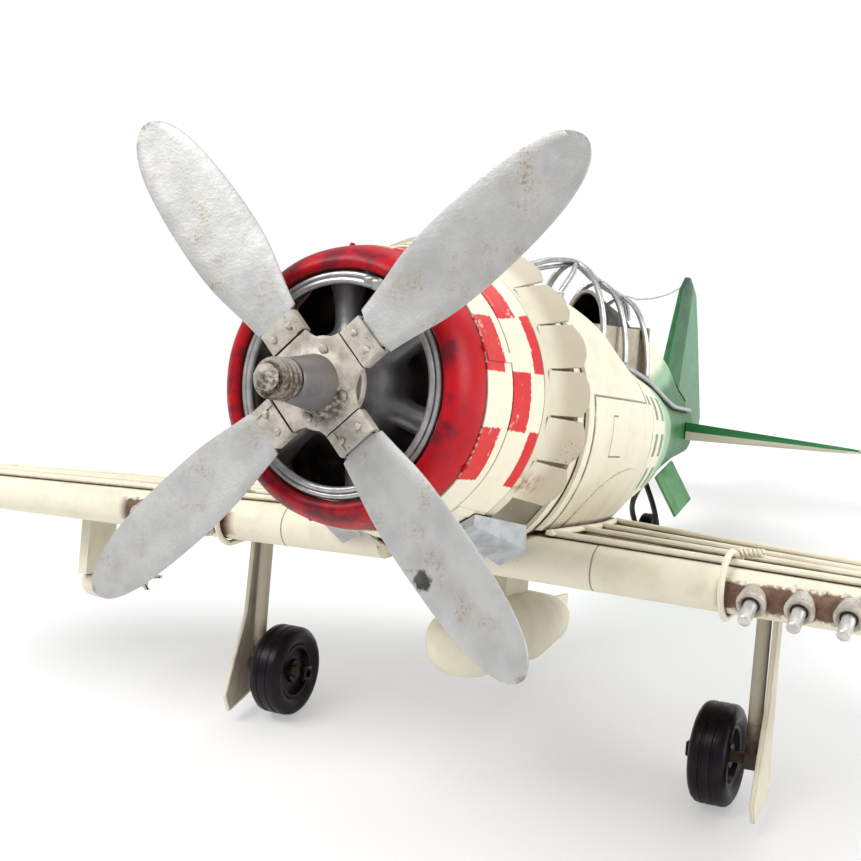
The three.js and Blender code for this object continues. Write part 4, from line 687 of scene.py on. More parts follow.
def tube(path, radius, sides=10, closed=False):
    """Points and faces of a round wire; radius may be a function of the share of its path."""
    path = [Vector(point) for point in path]
    count = len(path)
    side = None
    sections = []
    for i, point in enumerate(path):
        before = path[i - 1] if i or closed else point
        after = path[(i + 1) % count] if i + 1 < count or closed else point
        along = (after - before).normalized()
        if side is None:
            side = along.orthogonal().normalized()
        side = (side - along * side.dot(along)).normalized()
        other = along.cross(side)
        reach = radius(i / (count - 1)) if callable(radius) else radius
        sections.append(
            [point + side * reach * cos(a) + other * reach * sin(a) for a in turns(sides)]
        )
    if closed:
        sections.append(sections[0])
    return loft(sections, capped=not closed)


def merged(*shapes):
    """Several (points, faces) shapes as one."""
    points, faces = [], []
    for more_points, more_faces in shapes:
        start = len(points)
        points += [Vector(point) for point in more_points]
        faces += [tuple(start + i for i in face) for face in more_faces]
    return points, faces


def turned_by(shape, matrix):
    points, faces = shape
    return [matrix @ Vector(point) for point in points], faces


def blob(centre, size, seed):
    """A lump of solder."""
    work = bmesh.new()
    bmesh.ops.create_icosphere(work, subdivisions=3, radius=1)
    points = []
    for vert in work.verts:
        lump = 1 + 0.35 * noise.noise(vert.co * 1.4 + Vector((seed * 7.1, 0, 0)))
        points.append(Vector(centre) + Vector(vert.co[i] * size[i] * lump for i in range(3)))
    faces = [tuple(vert.index for vert in face.verts) for face in work.faces]
    work.free()
    return points, faces


def box_shape(low, high):
    (x0, y0, z0), (x1, y1, z1) = low, high
    bottom = [(x0, y0, z0), (x1, y0, z0), (x1, y1, z0), (x0, y1, z0)]
    return loft([bottom, [(x, y, z1) for x, y, _ in bottom]])


def settle(piece):
    """Applies a piece's modifiers to its mesh."""
    graph = bpy.context.evaluated_depsgraph_get()
    graph.update()
    result = bpy.data.meshes.new_from_object(piece.evaluated_get(graph))
    piece.modifiers.clear()
    piece.data = result


def cut(piece, low, high):
    """Takes a box away from a piece."""
    points, faces = box_shape(low, high)
    mesh = bpy.data.meshes.new("cutter")
    mesh.from_pydata([AIRFRAME @ Vector(point) for point in points], [], faces)
    work = bmesh.new()
    work.from_mesh(mesh)
    bmesh.ops.recalc_face_normals(work, faces=work.faces)
    work.to_mesh(mesh)
    work.free()
    cutter = bpy.data.objects.new("cutter", mesh)
    bpy.context.scene.collection.objects.link(cutter)
    boolean = piece.modifiers.new("cut", "BOOLEAN")
    boolean.operation = "DIFFERENCE"
    boolean.solver = "EXACT"
    boolean.object = cutter
    settle(piece)
    bpy.data.objects.remove(cutter)


def reading(table, at, key=1):
    """Straight-line reading of one column of a table whose first column is the station."""
    for before, after in zip(table, table[1:]):
        if at <= after[0]:
            share = max(at - before[0], 0) / (after[0] - before[0])
            return before[key] + (after[key] - before[key]) * share
    return table[-1][key]


# ---------------------------------------------------------------- propeller

REST_ANGLE = radians(46.6)
QUARTER = pi / 2
PROPELLER_RADIUS = 58
# Radius and half width of a blade: its straight root, then the points of its curved edge.
BLADE_ROOT = ((4.6, 2.8), (12.8, 2.85))
BLADE_EDGE = (
    (13.2, 4.3),
    (17.4, 5.0),
    (24.4, 6.3),
    (31.9, 6.8),
    (40.6, 6.6),
    (48.1, 5.85),
    (53.3, 4.5),
    (56.1, 2.95),
    (57.4, 1.35),
    (57.75, 0.3),
)
BLADE_ACROSS = (-1, -0.95, -0.6, -0.2, 0.2, 0.6, 0.95, 1)
BLADE_HALF_THICKNESS = 0.3
HUB_REACH = 8.1
CLAMP_HALF_WIDTH = 3.7
CLAMP_START, CLAMP_END = 8.4, 12.5
SHAFT_HOLE = 1.9


def blade_shape(index):
    """A thin blade, slightly twisted and unevenly beaten."""
    edge = rounded_path([(r, w, 0) for r, w in BLADE_EDGE], 6)
    sections = []
    for radius, width, _ in [Vector((r, w, 0)) for r, w in BLADE_ROOT] + edge:
        share = min(max((radius / PROPELLER_RADIUS - 0.222) / 0.278, 0), 1)
        twist = radians(10) * smooth_step(share)
        section = []
        for side in (-1, 1):
            for u in BLADE_ACROSS[::-side]:
                warp = 0.3 * bumps(u * width * 0.09, radius * 0.07, index * 5.3)
                warp += 0.05 * bumps(u * width * 0.6, radius * 0.6, index * 3.1)
                thick = side * BLADE_HALF_THICKNESS * (0.45 if abs(u) == 1 else 1)
                across, through = u * width, thick + warp * share
                x = across * cos(twist) - through * sin(twist)
                y = across * sin(twist) + through * cos(twist)
                section.append((x, y, radius))
        sections.append(section)
    return loft(sections)


def rounded_rectangle(half_width, half_height, corner):
    loop = []
    for quarter, (u, v) in enumerate(((1, 1), (-1, 1), (-1, -1), (1, -1))):
        for step in range(6):
            angle = radians(90 * (quarter + step / 5))
            x = u * (half_width - corner) + corner * cos(angle)
            loop.append((x, v * (half_height - corner) + corner * sin(angle)))
    return loop


def clamp_shape():
    """A folded clamp with two rivet heads and the seam of its fold."""
    outer = rounded_rectangle(CLAMP_HALF_WIDTH, 1.3, 0.55)
    inner = rounded_rectangle(3.1, 0.6, 0.2)
    ends = ((outer, CLAMP_START), (outer, CLAMP_END), (inner, CLAMP_END), (inner, CLAMP_START))
    rings = [[(u, v, z) for u, v in loop] for loop, z in ends]
    body = loft([*rings, rings[0]], capped=False)
    rivets = [blob((side * 1.85, -1.35, 10.45), (0.62, 0.42, 0.62), side + 3) for side in (-1, 1)]
    seam = box_shape((2.2, -1.53, CLAMP_START + 0.05), (3.55, -1.25, CLAMP_END - 0.05))
    return merged(body, *rivets, seam)


def hub_outline():
    """Four square arms joined by hollow curves."""
    outline = []
    for arm in range(4):
        turn = Matrix.Rotation(arm * QUARTER, 2)
        left = turn @ Vector((HUB_REACH, CLAMP_HALF_WIDTH))
        right = turn @ Vector((HUB_REACH, -CLAMP_HALF_WIDTH))
        waist = turn @ Vector((0.55 * HUB_REACH, 0.55 * HUB_REACH))
        following = Matrix.Rotation((arm + 1) * QUARTER, 2) @ Vector((HUB_REACH, -CLAMP_HALF_WIDTH))
        outline += [right.lerp(left, step / 6) for step in range(6)]
        for step in range(16):
            t = step / 16
            outline.append(left * (1 - t) ** 2 + waist * 2 * t * (1 - t) + following * t * t)
    return outline


def hub_shape():
    """The four-armed plate with a fillet of solder round the sleeve, on its round backing plate."""
    outline = hub_outline()

    def ring(reach, back=False):
        loop = []
        for point in outline:
            away = point.length
            radius = SHAFT_HOLE + (away - SHAFT_HOLE) * reach
            rise = 0.9 * max(0.0, 1 - max(radius - 4.4, 0) / 1.6) ** 2
            rise += 0.12 * bumps(point.x * reach * 0.5, point.y * reach * 0.5, 2.0)
            y = -0.62 if back else -1.25 - rise
            loop.append((point.x / away * radius, y, point.y / away * radius))
        return loop

    rings = [ring(share) for share in (0, 0.35, 0.42, 0.5, 0.6, 0.72, 0.86, 0.97)]
    edge = [(x, y + 0.12, z) for x, y, z in ring(1)]
    plate = loft([*rings, edge, ring(1, True), ring(0, True), rings[0]], capped=False)
    step = [(SHAFT_HOLE, -0.6), (4.3, -0.6), (4.3, 0.62), (7.5, 0.62)]
    rim = [(7.8, 0.9), (7.8, 1.7), (7.6, 1.9), (SHAFT_HOLE, 1.9)]
    lumps = [
        blob((5.6 * cos(a), -1.6, 5.6 * sin(a)), (0.9, 0.4, 0.7), a)
        for a in (0.5, 2.2, 3.9, 5.4)
    ]
    return merged(plate, lathe(step + rim, 64), *lumps)


def coil_shape():
    path = []
    for turn in spread(-0.25, 3.25, 104):
        angle = 2 * pi * turn
        radius = 2.92 - 0.07 * turn
        path.append((radius * cos(angle), -11.15 - 1.17 * turn, radius * sin(angle)))
    core = lathe([(SHAFT_HOLE, -10.4), (2.5, -10.4), (2.4, -15.3), (SHAFT_HOLE, -15.3)], 32)
    return merged(tube(path, 0.6, 12), core)


def make_propeller():
    def turning(name, shape, look, node, crease=35):
        mesh_piece(name, *shape, look, "propeller", [node], crease)

    for index in range(4):
        number = str(index + 1)
        turn = Matrix.Rotation(REST_ANGLE + index * QUARTER, 4, "Y")
        blade = turned_by(blade_shape(index), turn)
        turning("blade_" + number, blade, "blade", "propeller_blade_" + number, 50)
        turning("clamp_" + number, turned_by(clamp_shape(), turn), "solder", "blade_clamp_" + number, 40)
    hub = turned_by(hub_shape(), Matrix.Rotation(REST_ANGLE, 4, "Y"))
    turning("hub_plate", hub, "solder", "propeller_hub")
    collar = [(SHAFT_HOLE, -1.6), (4.6, -1.6), (4.62, -2.3), (4.5, -2.8)]
    sleeve = lathe([*collar, (3.5, -9.8), (3.3, -10.15), (SHAFT_HOLE, -10.2)], 72)
    turning("sleeve", sleeve, "sleeve", "nose_sleeve", 45)
    turning("coil", coil_shape(), "coil", "nose_coil")
    head = [(0, -17.1), (0.9, -17.0), (1.5, -16.7), (2.0, -16.2), (2.1, -15.6), (1.5, -15.5)]
    rod = [(1.5, 20), (2.1, 20), (2.1, 21.5), (0, 21.5)]
    turning("shaft", lathe(head + rod, 36, wobble=0.3), "solder", "propeller_shaft", 50)


# ---------------------------------------------------------------- engine and cowling

COWL_WALL = 0.8
COWL_ROWS = ((12.5, 24.4), (22, 24.9), (31, 27))
PETALS, PETAL_PITCH = 15, 17.1
PETAL_LENGTH, PETAL_CORNER, PETAL_THICKNESS = 12.0, 1.8, 0.5
EXHAUST_START, EXHAUST_END, EXHAUST_WALL = 27.5, 42.5, 0.55
EXHAUST_ANGLE = radians(-56)


def cowl_radius(y):
    return reading(COWL_ROWS, y)


def lip_profile():
    """Radius and station round the rolled lip, from its inner edge over the front and back inside."""
    front = [(19.4, 7.8), (19.38, 6.8), (19.5, 6.0), (19.85, 5.45)]
    curve = []
    for step in range(15):
        angle = radians(8 + 82 * step / 14)
        curve.append((24.1 - 4.0 * (1 - sin(angle)), 12.5 - 7.3 * cos(angle)))
    inner = [(23.3, 12.5), (22.6, 9.5), (21.2, 7.0), (20.3, 6.6), (20.2, 7.8)]
    return front + curve + inner


def band_profile(start, end):
    outer = [(cowl_radius(y), y) for y in spread(start, end, 6)]
    return outer + [(radius - COWL_WALL, y) for radius, y in reversed(outer)]


def petal_rows(index):
    """A petal's rows from root to tip, in its own frame: X across, Y along, Z outwards."""
    rows = []
    shoulder = PETAL_LENGTH - PETAL_CORNER
    for along in (0, 2, 4.5, 7, 9, shoulder, PETAL_LENGTH - PETAL_CORNER / 2, PETAL_LENGTH):
        half = 3.92 + 0.16 * along / PETAL_LENGTH
        half -= max(0, along - shoulder)
        row = []
        for step in range(9):
            u = -1 + step / 4
            bow = -0.42 * u * u + 0.5 * bumps(u * 0.7, along * 0.12, index * 3.7)
            row.append((u * half, along, bow * along / PETAL_LENGTH))
        rows.append(row)
    return rows


def make_petals():
    shapes = [lathe([(27.0, 31.3), (27.5, 33.9), (26.7, 33.9), (26.2, 31.3)], 96)]
    for index in range(PETALS):
        around = radians(PETAL_PITCH * (index - PETALS // 2))
        flare = radians(19 + 2.2 * bumps(index * 2.3, 0, 0))
        roll = radians(2.5 + 1.5 * bumps(0, index * 1.9, 0))
        place = Matrix.Rotation(around, 4, "Y") @ Matrix.Translation((0, 32.7, 26.65))
        place = place @ Matrix.Rotation(flare, 4, "X") @ Matrix.Rotation(roll, 4, "Y")
        sections = []
        for row in petal_rows(index):
            top = [place @ Vector((x, y, z + PETAL_THICKNESS)) for x, y, z in row]
            low = [place @ Vector(point) for point in reversed(row)]
            sections.append(top + low)
        shapes.append(loft(sections))
    petals = mesh_piece("cooling_petals", *merged(*shapes), "petal", replaces=["cowl_flap_ring"])
    soften(petals, 0.12)


def make_crankcase():
    """The dome and its arms grown into one smooth casting."""
    front = [(0, 4), (3.6, 4), (5.2, 5.5), (7.6, 6.6), (9.6, 9), (10.4, 13)]
    shapes = [lathe([*front, (10.4, 19), (12, 23.4), (0, 23.4)], 48, closed=False)]
    for arm in range(6):
        angle = radians(50 + 60 * arm)
        out = Vector((sin(angle), 0, cos(angle)))
        path = [out * (5 + 16.2 * s / 8) + Vector((0, 10.9 + 1.5 * s / 8, 0)) for s in range(9)]
        shapes.append(tube(path, lambda t: 2.5 + 1.5 * (2 * t - 0.9) ** 2, 20))
    shapes.append(tube(circle(20.6, 12.8, 64), 1.5, 12, closed=True))
    nodes = ["engine_casting"]
    casting = mesh_piece("crankcase", *merged(*shapes), "gunmetal", replaces=nodes, crease=180)
    remesh = casting.modifiers.new("one casting", "REMESH")
    remesh.mode = "VOXEL"
    remesh.voxel_size = 0.55 * MM
    remesh.use_smooth_shade = True
    smooth = casting.modifiers.new("moulded", "SMOOTH")
    smooth.factor = 0.6
    smooth.iterations = 12
    settle(casting)
    casting.data.materials.clear()
    casting.data.materials.append(LOOKS["gunmetal"])


def exhaust_section(side, y, reach, half, height, inset=0.0):
    """A flattened trapezoid across the exhaust, standing off the cowling's lower side."""
    out = Vector((cos(EXHAUST_ANGLE), 0, sin(EXHAUST_ANGLE)))
    across = Vector((sin(EXHAUST_ANGLE), 0, -cos(EXHAUST_ANGLE)))
    corners = ((-1, inset), (1, inset), (0.6, height - inset), (-0.6, height - inset))
    loop = [out * (reach + rise) + across * (share * (half - inset)) for share, rise in corners]
    return [Vector((side * point.x, y, point.z)) for point in loop]


def make_exhaust(name, side):
    near = cowl_radius(EXHAUST_START) + 0.3
    mouth = (side, EXHAUST_END, near + 3.8, 5.2, 4.2)
    sections = [
        exhaust_section(side, EXHAUST_START, near, 3.2, 1.6),
        exhaust_section(*mouth),
        exhaust_section(*mouth, EXHAUST_WALL),
        exhaust_section(side, EXHAUST_START + 5, near + 1.4, 3.7, 2.4, EXHAUST_WALL),
    ]
    nodes = ["exhaust_outlet_" + name]
    soften(mesh_piece("exhaust_" + name, *loft(sections), "sheet", replaces=nodes), 0.2)


def make_laps():
    """The lapped seam of each cowling band."""
    laps = []
    for angle, start, end in ((15, 12.9, 21.7), (-52, 22.3, 30.8)):
        turn = Matrix.Rotation(radians(90 - angle), 4, "Y")
        rows = []
        for y in (start, end):
            r = cowl_radius(y)
            corners = ((-1.6, r - 0.3), (-1.6, r + 0.12), (0.1, r + 0.24), (0.1, r - 0.3))
            rows.append([turn @ Vector((x, y, z)) for x, z in corners])
        laps.append(loft(rows))
    mesh_piece("cowl_laps", *merged(*laps), "cowl", crease=20)


def make_front():
    lip = lathe(lip_profile(), 128, wobble=0.12)
    mesh_piece("lip", *lip, "red", replaces=["cowl_lip"], crease=60)
    shapes = [tube(circle(*ring, 96), 0.62, 12, closed=True) for ring in ((18.5, 6.5), (17.45, 6.1))]
    for a in (0.25, 0.33):
        shapes.append(blob((18 * sin(a), 5.7, 18 * cos(a)), (1.2, 0.6, 1.0), 4 + a))
    mesh_piece("mouth_ring", *merged(*shapes), "wire", replaces=["cowl_mouth_ring"])
    for name, start, end in (("cowl_front_band", 12.75, 21.85), ("cowl_rear_band", 22.15, 31.0)):
        band = lathe(band_profile(start, end), 128, wobble=0.15)
        soften(mesh_piece(name + "_skin", *band, "cowl", replaces=[name]), 0.12)
    make_laps()
    drops = []
    for step in range(9):
        angle = 0.35 + step * 0.68
        size = 0.45 + 0.3 * bumps(step * 3.3, 1, 0)
        place = (24.3 * cos(angle), 12.6, 24.3 * sin(angle))
        drops.append(blob(place, (size, size * 1.2, size), step))
    mesh_piece("lip_solder", *merged(*drops), "red")
    make_petals()
    make_crankcase()
    refined("engine_mount", "mount", 0)
    for name, side in SIDES:
        make_exhaust(name, side)


# ---------------------------------------------------------------- fuselage

AXIS_Z = -3.0
FUSELAGE_START, FUSELAGE_END = 45.0, 218.0
FUSELAGE_HALF_WIDTH = 28.4
FRONT_SHELL_END, REAR_SHELL_START = 101.0, 101.3
SHEET = 0.8
PANEL_FOOT_Z = -23.4
COCKPIT_HALF_WIDTH, COCKPIT_END = 8.2, 150
# Station, half width, top and belly.
FUSELAGE_ROWS = [
    (FUSELAGE_START + at * (FUSELAGE_END - FUSELAGE_START), half * FUSELAGE_HALF_WIDTH, top, belly)
    for at, half, top, belly in (
        (0, 1, 26.2, -32.2),
        (0.09, 0.99, 26, -32),
        (0.2, 0.97, 24.2, -31.4),
        (0.27, 0.925, 19.2, -30.4),
        (0.37, 0.825, 14.6, -28.4),
        (0.48, 0.7, 12.4, -26),
        (0.6, 0.545, 10.4, -22.8),
        (0.7, 0.385, 7.8, -19.2),
        (0.8, 0.245, 5.8, -15.4),
        (0.9, 0.155, 4.8, -11.6),
        (1, 0.085, 4.4, -9),
    )
]
# Station, half width and top of the spine behind the cockpit.
DECK_ROWS = ((150.3, 7.9, 23.7), (168.8, 6.4, 21.5), (187.3, 4.1, 16.5), (202.7, 2.3, 10), (212, 1.64, 7))
DECK_START, DECK_END = DECK_ROWS[0][0], DECK_ROWS[-1][0]


def fuselage_at(y):
    """Half width, top and belly at a station."""
    return [reading(FUSELAGE_ROWS, y, key) for key in (1, 2, 3)]


def fuselage_point(y, angle, grow=0.0):
    half, top, belly = fuselage_at(y)
    height = top - AXIS_Z if sin(angle) > 0 else AXIS_Z - belly
    up = (height + grow) * sin(angle)
    return Vector(((half + grow) * cos(angle), y, AXIS_Z + up))


def fuselage_loop(y, grow=0.0):
    return [fuselage_point(y, angle, grow) for angle in turns(72)]


def fuselage_angle(y, z, grow=0.0):
    """The angle round the section at which it reaches the height z."""
    _, top, belly = fuselage_at(y)
    height = top - AXIS_Z if z > AXIS_Z else AXIS_Z - belly
    return asin(max(-0.999, min(0.999, (z - AXIS_Z) / (height + grow))))


def fuselage_top(x, y):
    half, top, _ = fuselage_at(y)
    return AXIS_Z + (top - AXIS_Z) * sqrt(1 - min(abs(x) / half, 0.999) ** 2)


def cut_cockpit(skin, start):
    low, high = (-COCKPIT_HALF_WIDTH, start, 0.5), (COCKPIT_HALF_WIDTH, COCKPIT_END, 60)
    cut(skin, low, high)


def make_shells():
    """The front shell as a sheet open at both ends, and the closed rear shell."""
    stations = spread(FUSELAGE_START, FRONT_SHELL_END, 19)
    loops = [fuselage_loop(y) for y in stations]
    inner = [fuselage_loop(y, -SHEET) for y in reversed(stations)]
    front = loft([*loops, *inner, loops[0]], capped=False)
    name, look = "fuselage_front", "front_fuselage"
    cut_cockpit(mesh_piece(name + "_skin", *front, look, replaces=[name], crease=25), 80)
    rear = loft([fuselage_loop(y) for y in spread(REAR_SHELL_START, FUSELAGE_END, 40)])
    name, look = "fuselage_rear", "rear_fuselage"
    cut_cockpit(mesh_piece(name + "_skin", *rear, look, replaces=[name], crease=25), 90)


def skin_patch(side, start, end, low, high, grow, wall, rows=24, columns=16):
    """A thin sheet lying on the fuselage's side between two heights, the upper a function of y."""
    outer = []
    for y in spread(start, end, rows):
        angles = spread(fuselage_angle(y, low, grow), fuselage_angle(y, high(y), grow), columns)
        line = [fuselage_point(y, angle, grow) for angle in angles]
        under = [fuselage_point(y, angle, grow - wall) for angle in reversed(angles)]
        outer.append([Vector((side * p.x, p.y, p.z)) for p in line + under])
    return loft(outer)


def deck_half(y):
    return reading(DECK_ROWS, y)


def deck_loop(y):
    reach, top = deck_half(y), reading(DECK_ROWS, y, 2)
    loop = [(reach, y, 0)]
    for step in range(25):
        angle = pi * step / 24
        loop.append((reach * cos(angle), y, 0.45 * top + 0.55 * top * sin(angle)))
    return [*loop, (-reach, y, 0)]


def make_fuselage():
    make_shells()
    deck = loft([deck_loop(y) for y in spread(DECK_START, DECK_END, 20)])
    soften(mesh_piece("spine_skin", *deck, "rear_fuselage", replaces=["turtledeck"]), 0.3)
    half_section = [(48.5, 0.3), (48.5, 1.0), (48.8, 1.15), (51.2, 1.15), (51.5, 1.0), (51.5, 0.3)]
    rings = [fuselage_loop(y, grow) for y, grow in half_section + half_section[:1]]
    strap = loft(rings, capped=False)
    strap = mesh_piece("strap", *strap, "cream", replaces=["fuselage_strap"])
    cut(strap, (-60, 40, -60), (60, 60, PANEL_FOOT_Z))

    def arch(y):
        return -23.6 + 12.2 * sqrt(max(0.0, 1 - ((y - 83) / 24) ** 2))

    for name, side in SIDES:
        panel = skin_patch(side, 51.8, 100.5, PANEL_FOOT_Z, lambda y: 2.5, 1.1, 0.7)
        nodes = ["side_panel_" + name]
        soften(mesh_piece("panel_" + name, *panel, "front_fuselage", replaces=nodes), 0.15)
        root = skin_patch(side, 59.2, 99.8, -23.6, arch, 1.45, 0.4, 40, 10)
        mesh_piece("root_panel_" + name, *root, "cream", crease=25)


# ---------------------------------------------------------------- cockpit and canopy

RAIL_X = 8.8
CANOPY_START, CANOPY_END = 80, 212
WIRE_RADIUS, WIRE_SHIFTS = 0.55, (-0.6, 0.6)
HOOPS = ((111.5, 34.3), (128.5, 31.8), (147.0, 30.0))
# Height and station of the fin's leading edge.
FIN_LEADING = ((-4, 186), (17, 190), (38.5, 199.5), (42.5, 205))
AERIAL_Z = 38.5


def rail_z(x, y):
    return fuselage_top(x - 0.6, y) + 0.9


def rail_path(side):
    points = []
    for share in (0, 0.07, 0.14, 0.23, 0.35, 0.5, 0.6, 0.7, 0.8, 0.9, 1):
        y = CANOPY_START + (CANOPY_END - CANOPY_START) * share
        x = deck_half(y) + 1.0 if y > COCKPIT_END else RAIL_X
        points.append((side * x, y, rail_z(x, y)))
    return rounded_path(points, 4)


def hoop_path(y, top, shift):
    foot = rail_z(RAIL_X, y)
    angles = [pi * i / 24 for i in range(25)]
    return [(RAIL_X * cos(a), y + shift, foot + (top - foot) * sin(a)) for a in angles]


def make_canopy():
    wires, joints = [], []
    for y, top in HOOPS:
        wires += [tube(hoop_path(y, top, shift), WIRE_RADIUS) for shift in WIRE_SHIFTS]
        joints.append(blob((0, y, top + 0.1), (1.5, 1.2, 0.8), y))
        for _, side in SIDES:
            foot = (side * RAIL_X, y, rail_z(RAIL_X, y) + 0.3)
            joints.append(blob(foot, (0.8, 1.4, 0.9), y + side))
    first_y, first_top = HOOPS[0]
    spine = [
        (0, 68, fuselage_top(0, 68) + 0.9),
        (0, CANOPY_START, fuselage_top(0, CANOPY_START) + 5.2),
        (0, 95.7, first_top - 1.4),
        *[(0, y, top) for y, top in HOOPS],
        (0, 151, 28),
        (0, 153, 24.9),
    ]
    for shift in WIRE_SHIFTS:
        path = [(x + shift, y, z) for x, y, z in rounded_path(spine, 6)]
        wires.append(tube(path, WIRE_RADIUS))
    for _, side in SIDES:
        wires.append(tube(rail_path(side), 0.62))
        corner = Vector((side * RAIL_X, CANOPY_START, rail_z(RAIL_X, CANOPY_START)))
        top = Vector((0, first_y, first_top))
        middle = (corner + top) / 2 + Vector((side * 1.2, 0, 1.2))
        wires.append(tube(rounded_path([corner, middle, top], 8), 0.6))
        joints.append(blob(corner, (1.1, 1.3, 0.9), side + 9))
    mesh_piece("canopy_wires", *merged(*wires, *joints), "wire", replaces=["canopy_frame"])


def make_cockpit():
    make_canopy()
    refined("cockpit_floor", "dark", 0)
    # The seat's hood is painted near-black behind its mouth as painted shadow.
    refined("pilot_seat", "hood", 0.15)
    # The cream rear bulkhead is painted darker as painted shade.
    refined("rear_bulkhead", "shaded_cream", 0.1)
    start, end = Vector((0, 149, 30.7)), Vector((0, reading(FIN_LEADING, AERIAL_Z) - 0.8, AERIAL_Z))
    path = []
    for share in spread(0, 1, 16):
        kink = 0.25 * bumps(share * 6, 0, 0)
        sag = 1.8 * 4 * share * (1 - share)
        path.append(start.lerp(end, share) + Vector((kink, 0, kink - sag)))
    mesh_piece("aerial", *tube(path, 0.2, 8), "wire", replaces=["antenna_wire"])


# ---------------------------------------------------------------- wings

WING_TIP, WING_ROUND, WING_ROOT = 150.0, 18.0, 6.0
WING_LEADING = 50
GUN_DROOP, GUN_REACH, GUN_PITCH, GUN_Z = radians(30), 6, 8.2, -30.6
WING_BAND_X = {"port": 57.5, "starboard": 48.0}
FRAME_TIP_X = 128.0
FRAME_SHARES = (0, 0.27, 0.47, 0.73)


def wing_open(x):
    into = max(0.0, x - (WING_TIP - WING_ROUND)) / WING_ROUND
    return sqrt(max(0.0, 1 - into * into))


def wing_at(x):
    """Leading-edge axis, trailing edge, edge radius and top of the wing at a distance out."""
    share = (x - WING_ROOT) / (WING_TIP - WING_ROOT)
    trailing = 122 + (74 - 122) * share
    radius = 4.5 + (3.6 - 4.5) * share
    opened = wing_open(x)
    middle = 0.5 * (WING_LEADING + trailing)
    return (
        middle + (WING_LEADING - middle) * opened,
        middle + 2 + (trailing - middle - 2) * opened,
        max(radius * (0.35 + 0.65 * opened), 0.6),
        -24 - 4 * share,
    )


def wing_loop(side, x):
    """A section of the wing: the rolled leading edge, the sagging underside and the flat top."""
    leading, trailing, radius, top = wing_at(x)
    centre, low = top - radius, top - 2 * radius
    loop = []
    for step in range(29):
        angle = QUARTER + pi * step / 28
        loop.append((side * x, leading + radius * cos(angle), centre + radius * sin(angle)))
    for step in range(1, 9):
        share = step / 8
        sag = 0.25 * bumps(x * 0.05, share * 2, side) * (1 - share)
        under = low + (top - 1.4 - low) * share + sag
        loop.append((side * x, leading + (trailing - leading) * share, under))
    for step in range(8):
        share = 1 - step / 8
        loop.append((side * x, leading + (trailing - leading) * share, top - 0.4 * share))
    return loop


def make_wing(name, side):
    stations = [11 + 4.03 * i for i in range(30)]
    stations += [WING_TIP - WING_ROUND + WING_ROUND * sin(QUARTER * i / 14) for i in range(1, 15)]
    shape = loft([wing_loop(side, min(x, WING_TIP - 0.02)) for x in stations])
    mesh_piece("wing_skin_" + name, *shape, "wing", replaces=["wing_" + name], crease=40)


def chord_point(x, share):
    leading, trailing, _, _ = wing_at(x)
    return leading + (trailing - leading) * share


def wing_wire_z(x):
    return wing_at(x)[3] + 0.95 - 0.2


def make_wing_wires(name, side):
    wires, roots = [], []
    for share in FRAME_SHARES:
        start_y, end_y = chord_point(20, share), chord_point(FRAME_TIP_X, share)
        angle = fuselage_angle(start_y, -22.5, 1.1)
        root_x = fuselage_point(start_y, angle, 1.1).x + 1.0
        path = []
        for x, y in zip(spread(root_x, FRAME_TIP_X, 20), spread(start_y, end_y, 20)):
            bend = 0.25 * bumps(x * 0.06, share * 9, side)
            path.append((side * x, y + bend, wing_wire_z(x)))
        wires.append(tube(path, 0.7))
        roots.append(path[0])
        wires.append(blob(path[0], (1.2, 1.3, 0.7), share + side))
        wires.append(blob(path[-1], (1.2, 1.2, 0.7), share + side + 3))
    wires.append(tube(rounded_path(roots, 6), 0.7))
    ends = [chord_point(FRAME_TIP_X, share) for share in (FRAME_SHARES[0], FRAME_SHARES[-1])]
    wires.append(tube([(side * FRAME_TIP_X, y, wing_wire_z(FRAME_TIP_X)) for y in ends], 0.7))
    mesh_piece("wing_frame_" + name, *merged(*wires), "cream", replaces=["wing_wires_" + name])


def make_wing_band(name, side):
    """A wire hooked over the leading edge, with two twisted ends."""
    x = WING_BAND_X[name]
    leading, _, radius, top = wing_at(x)
    high, low = top + 2.5, top - 2 * radius - 0.9
    middle, reach = (high + low) / 2, (high - low) / 2
    path = [(side * x, leading + 7.5, top + 1.0), (side * x, leading + 4, high - 0.7)]
    for step in range(13):
        angle = QUARTER + pi * step / 12
        ahead = leading + 0.4 + reach * cos(angle)
        path.append((side * x, ahead, middle + reach * sin(angle)))
    path.append((side * x, leading + 8, low + 1.0))
    shapes = [tube(rounded_path(path, 3), 0.6)]
    for phase in (0, pi):
        twist = []
        for share in spread(0, 1, 32):
            angle = phase + share * 6 * pi
            out, back, up = x + 4.5 * share, leading + 4.5 + 1.5 * share, high - 0.3 + 0.3 * share
            ring = Vector((0, 0.45 * cos(angle), 0.45 * sin(angle)))
            twist.append(Vector((side * out, back, up)) + ring)
        shapes.append(tube(twist, 0.42, 8))
    mesh_piece("band_" + name, *merged(*shapes), "cream", replaces=["wing_band_" + name])


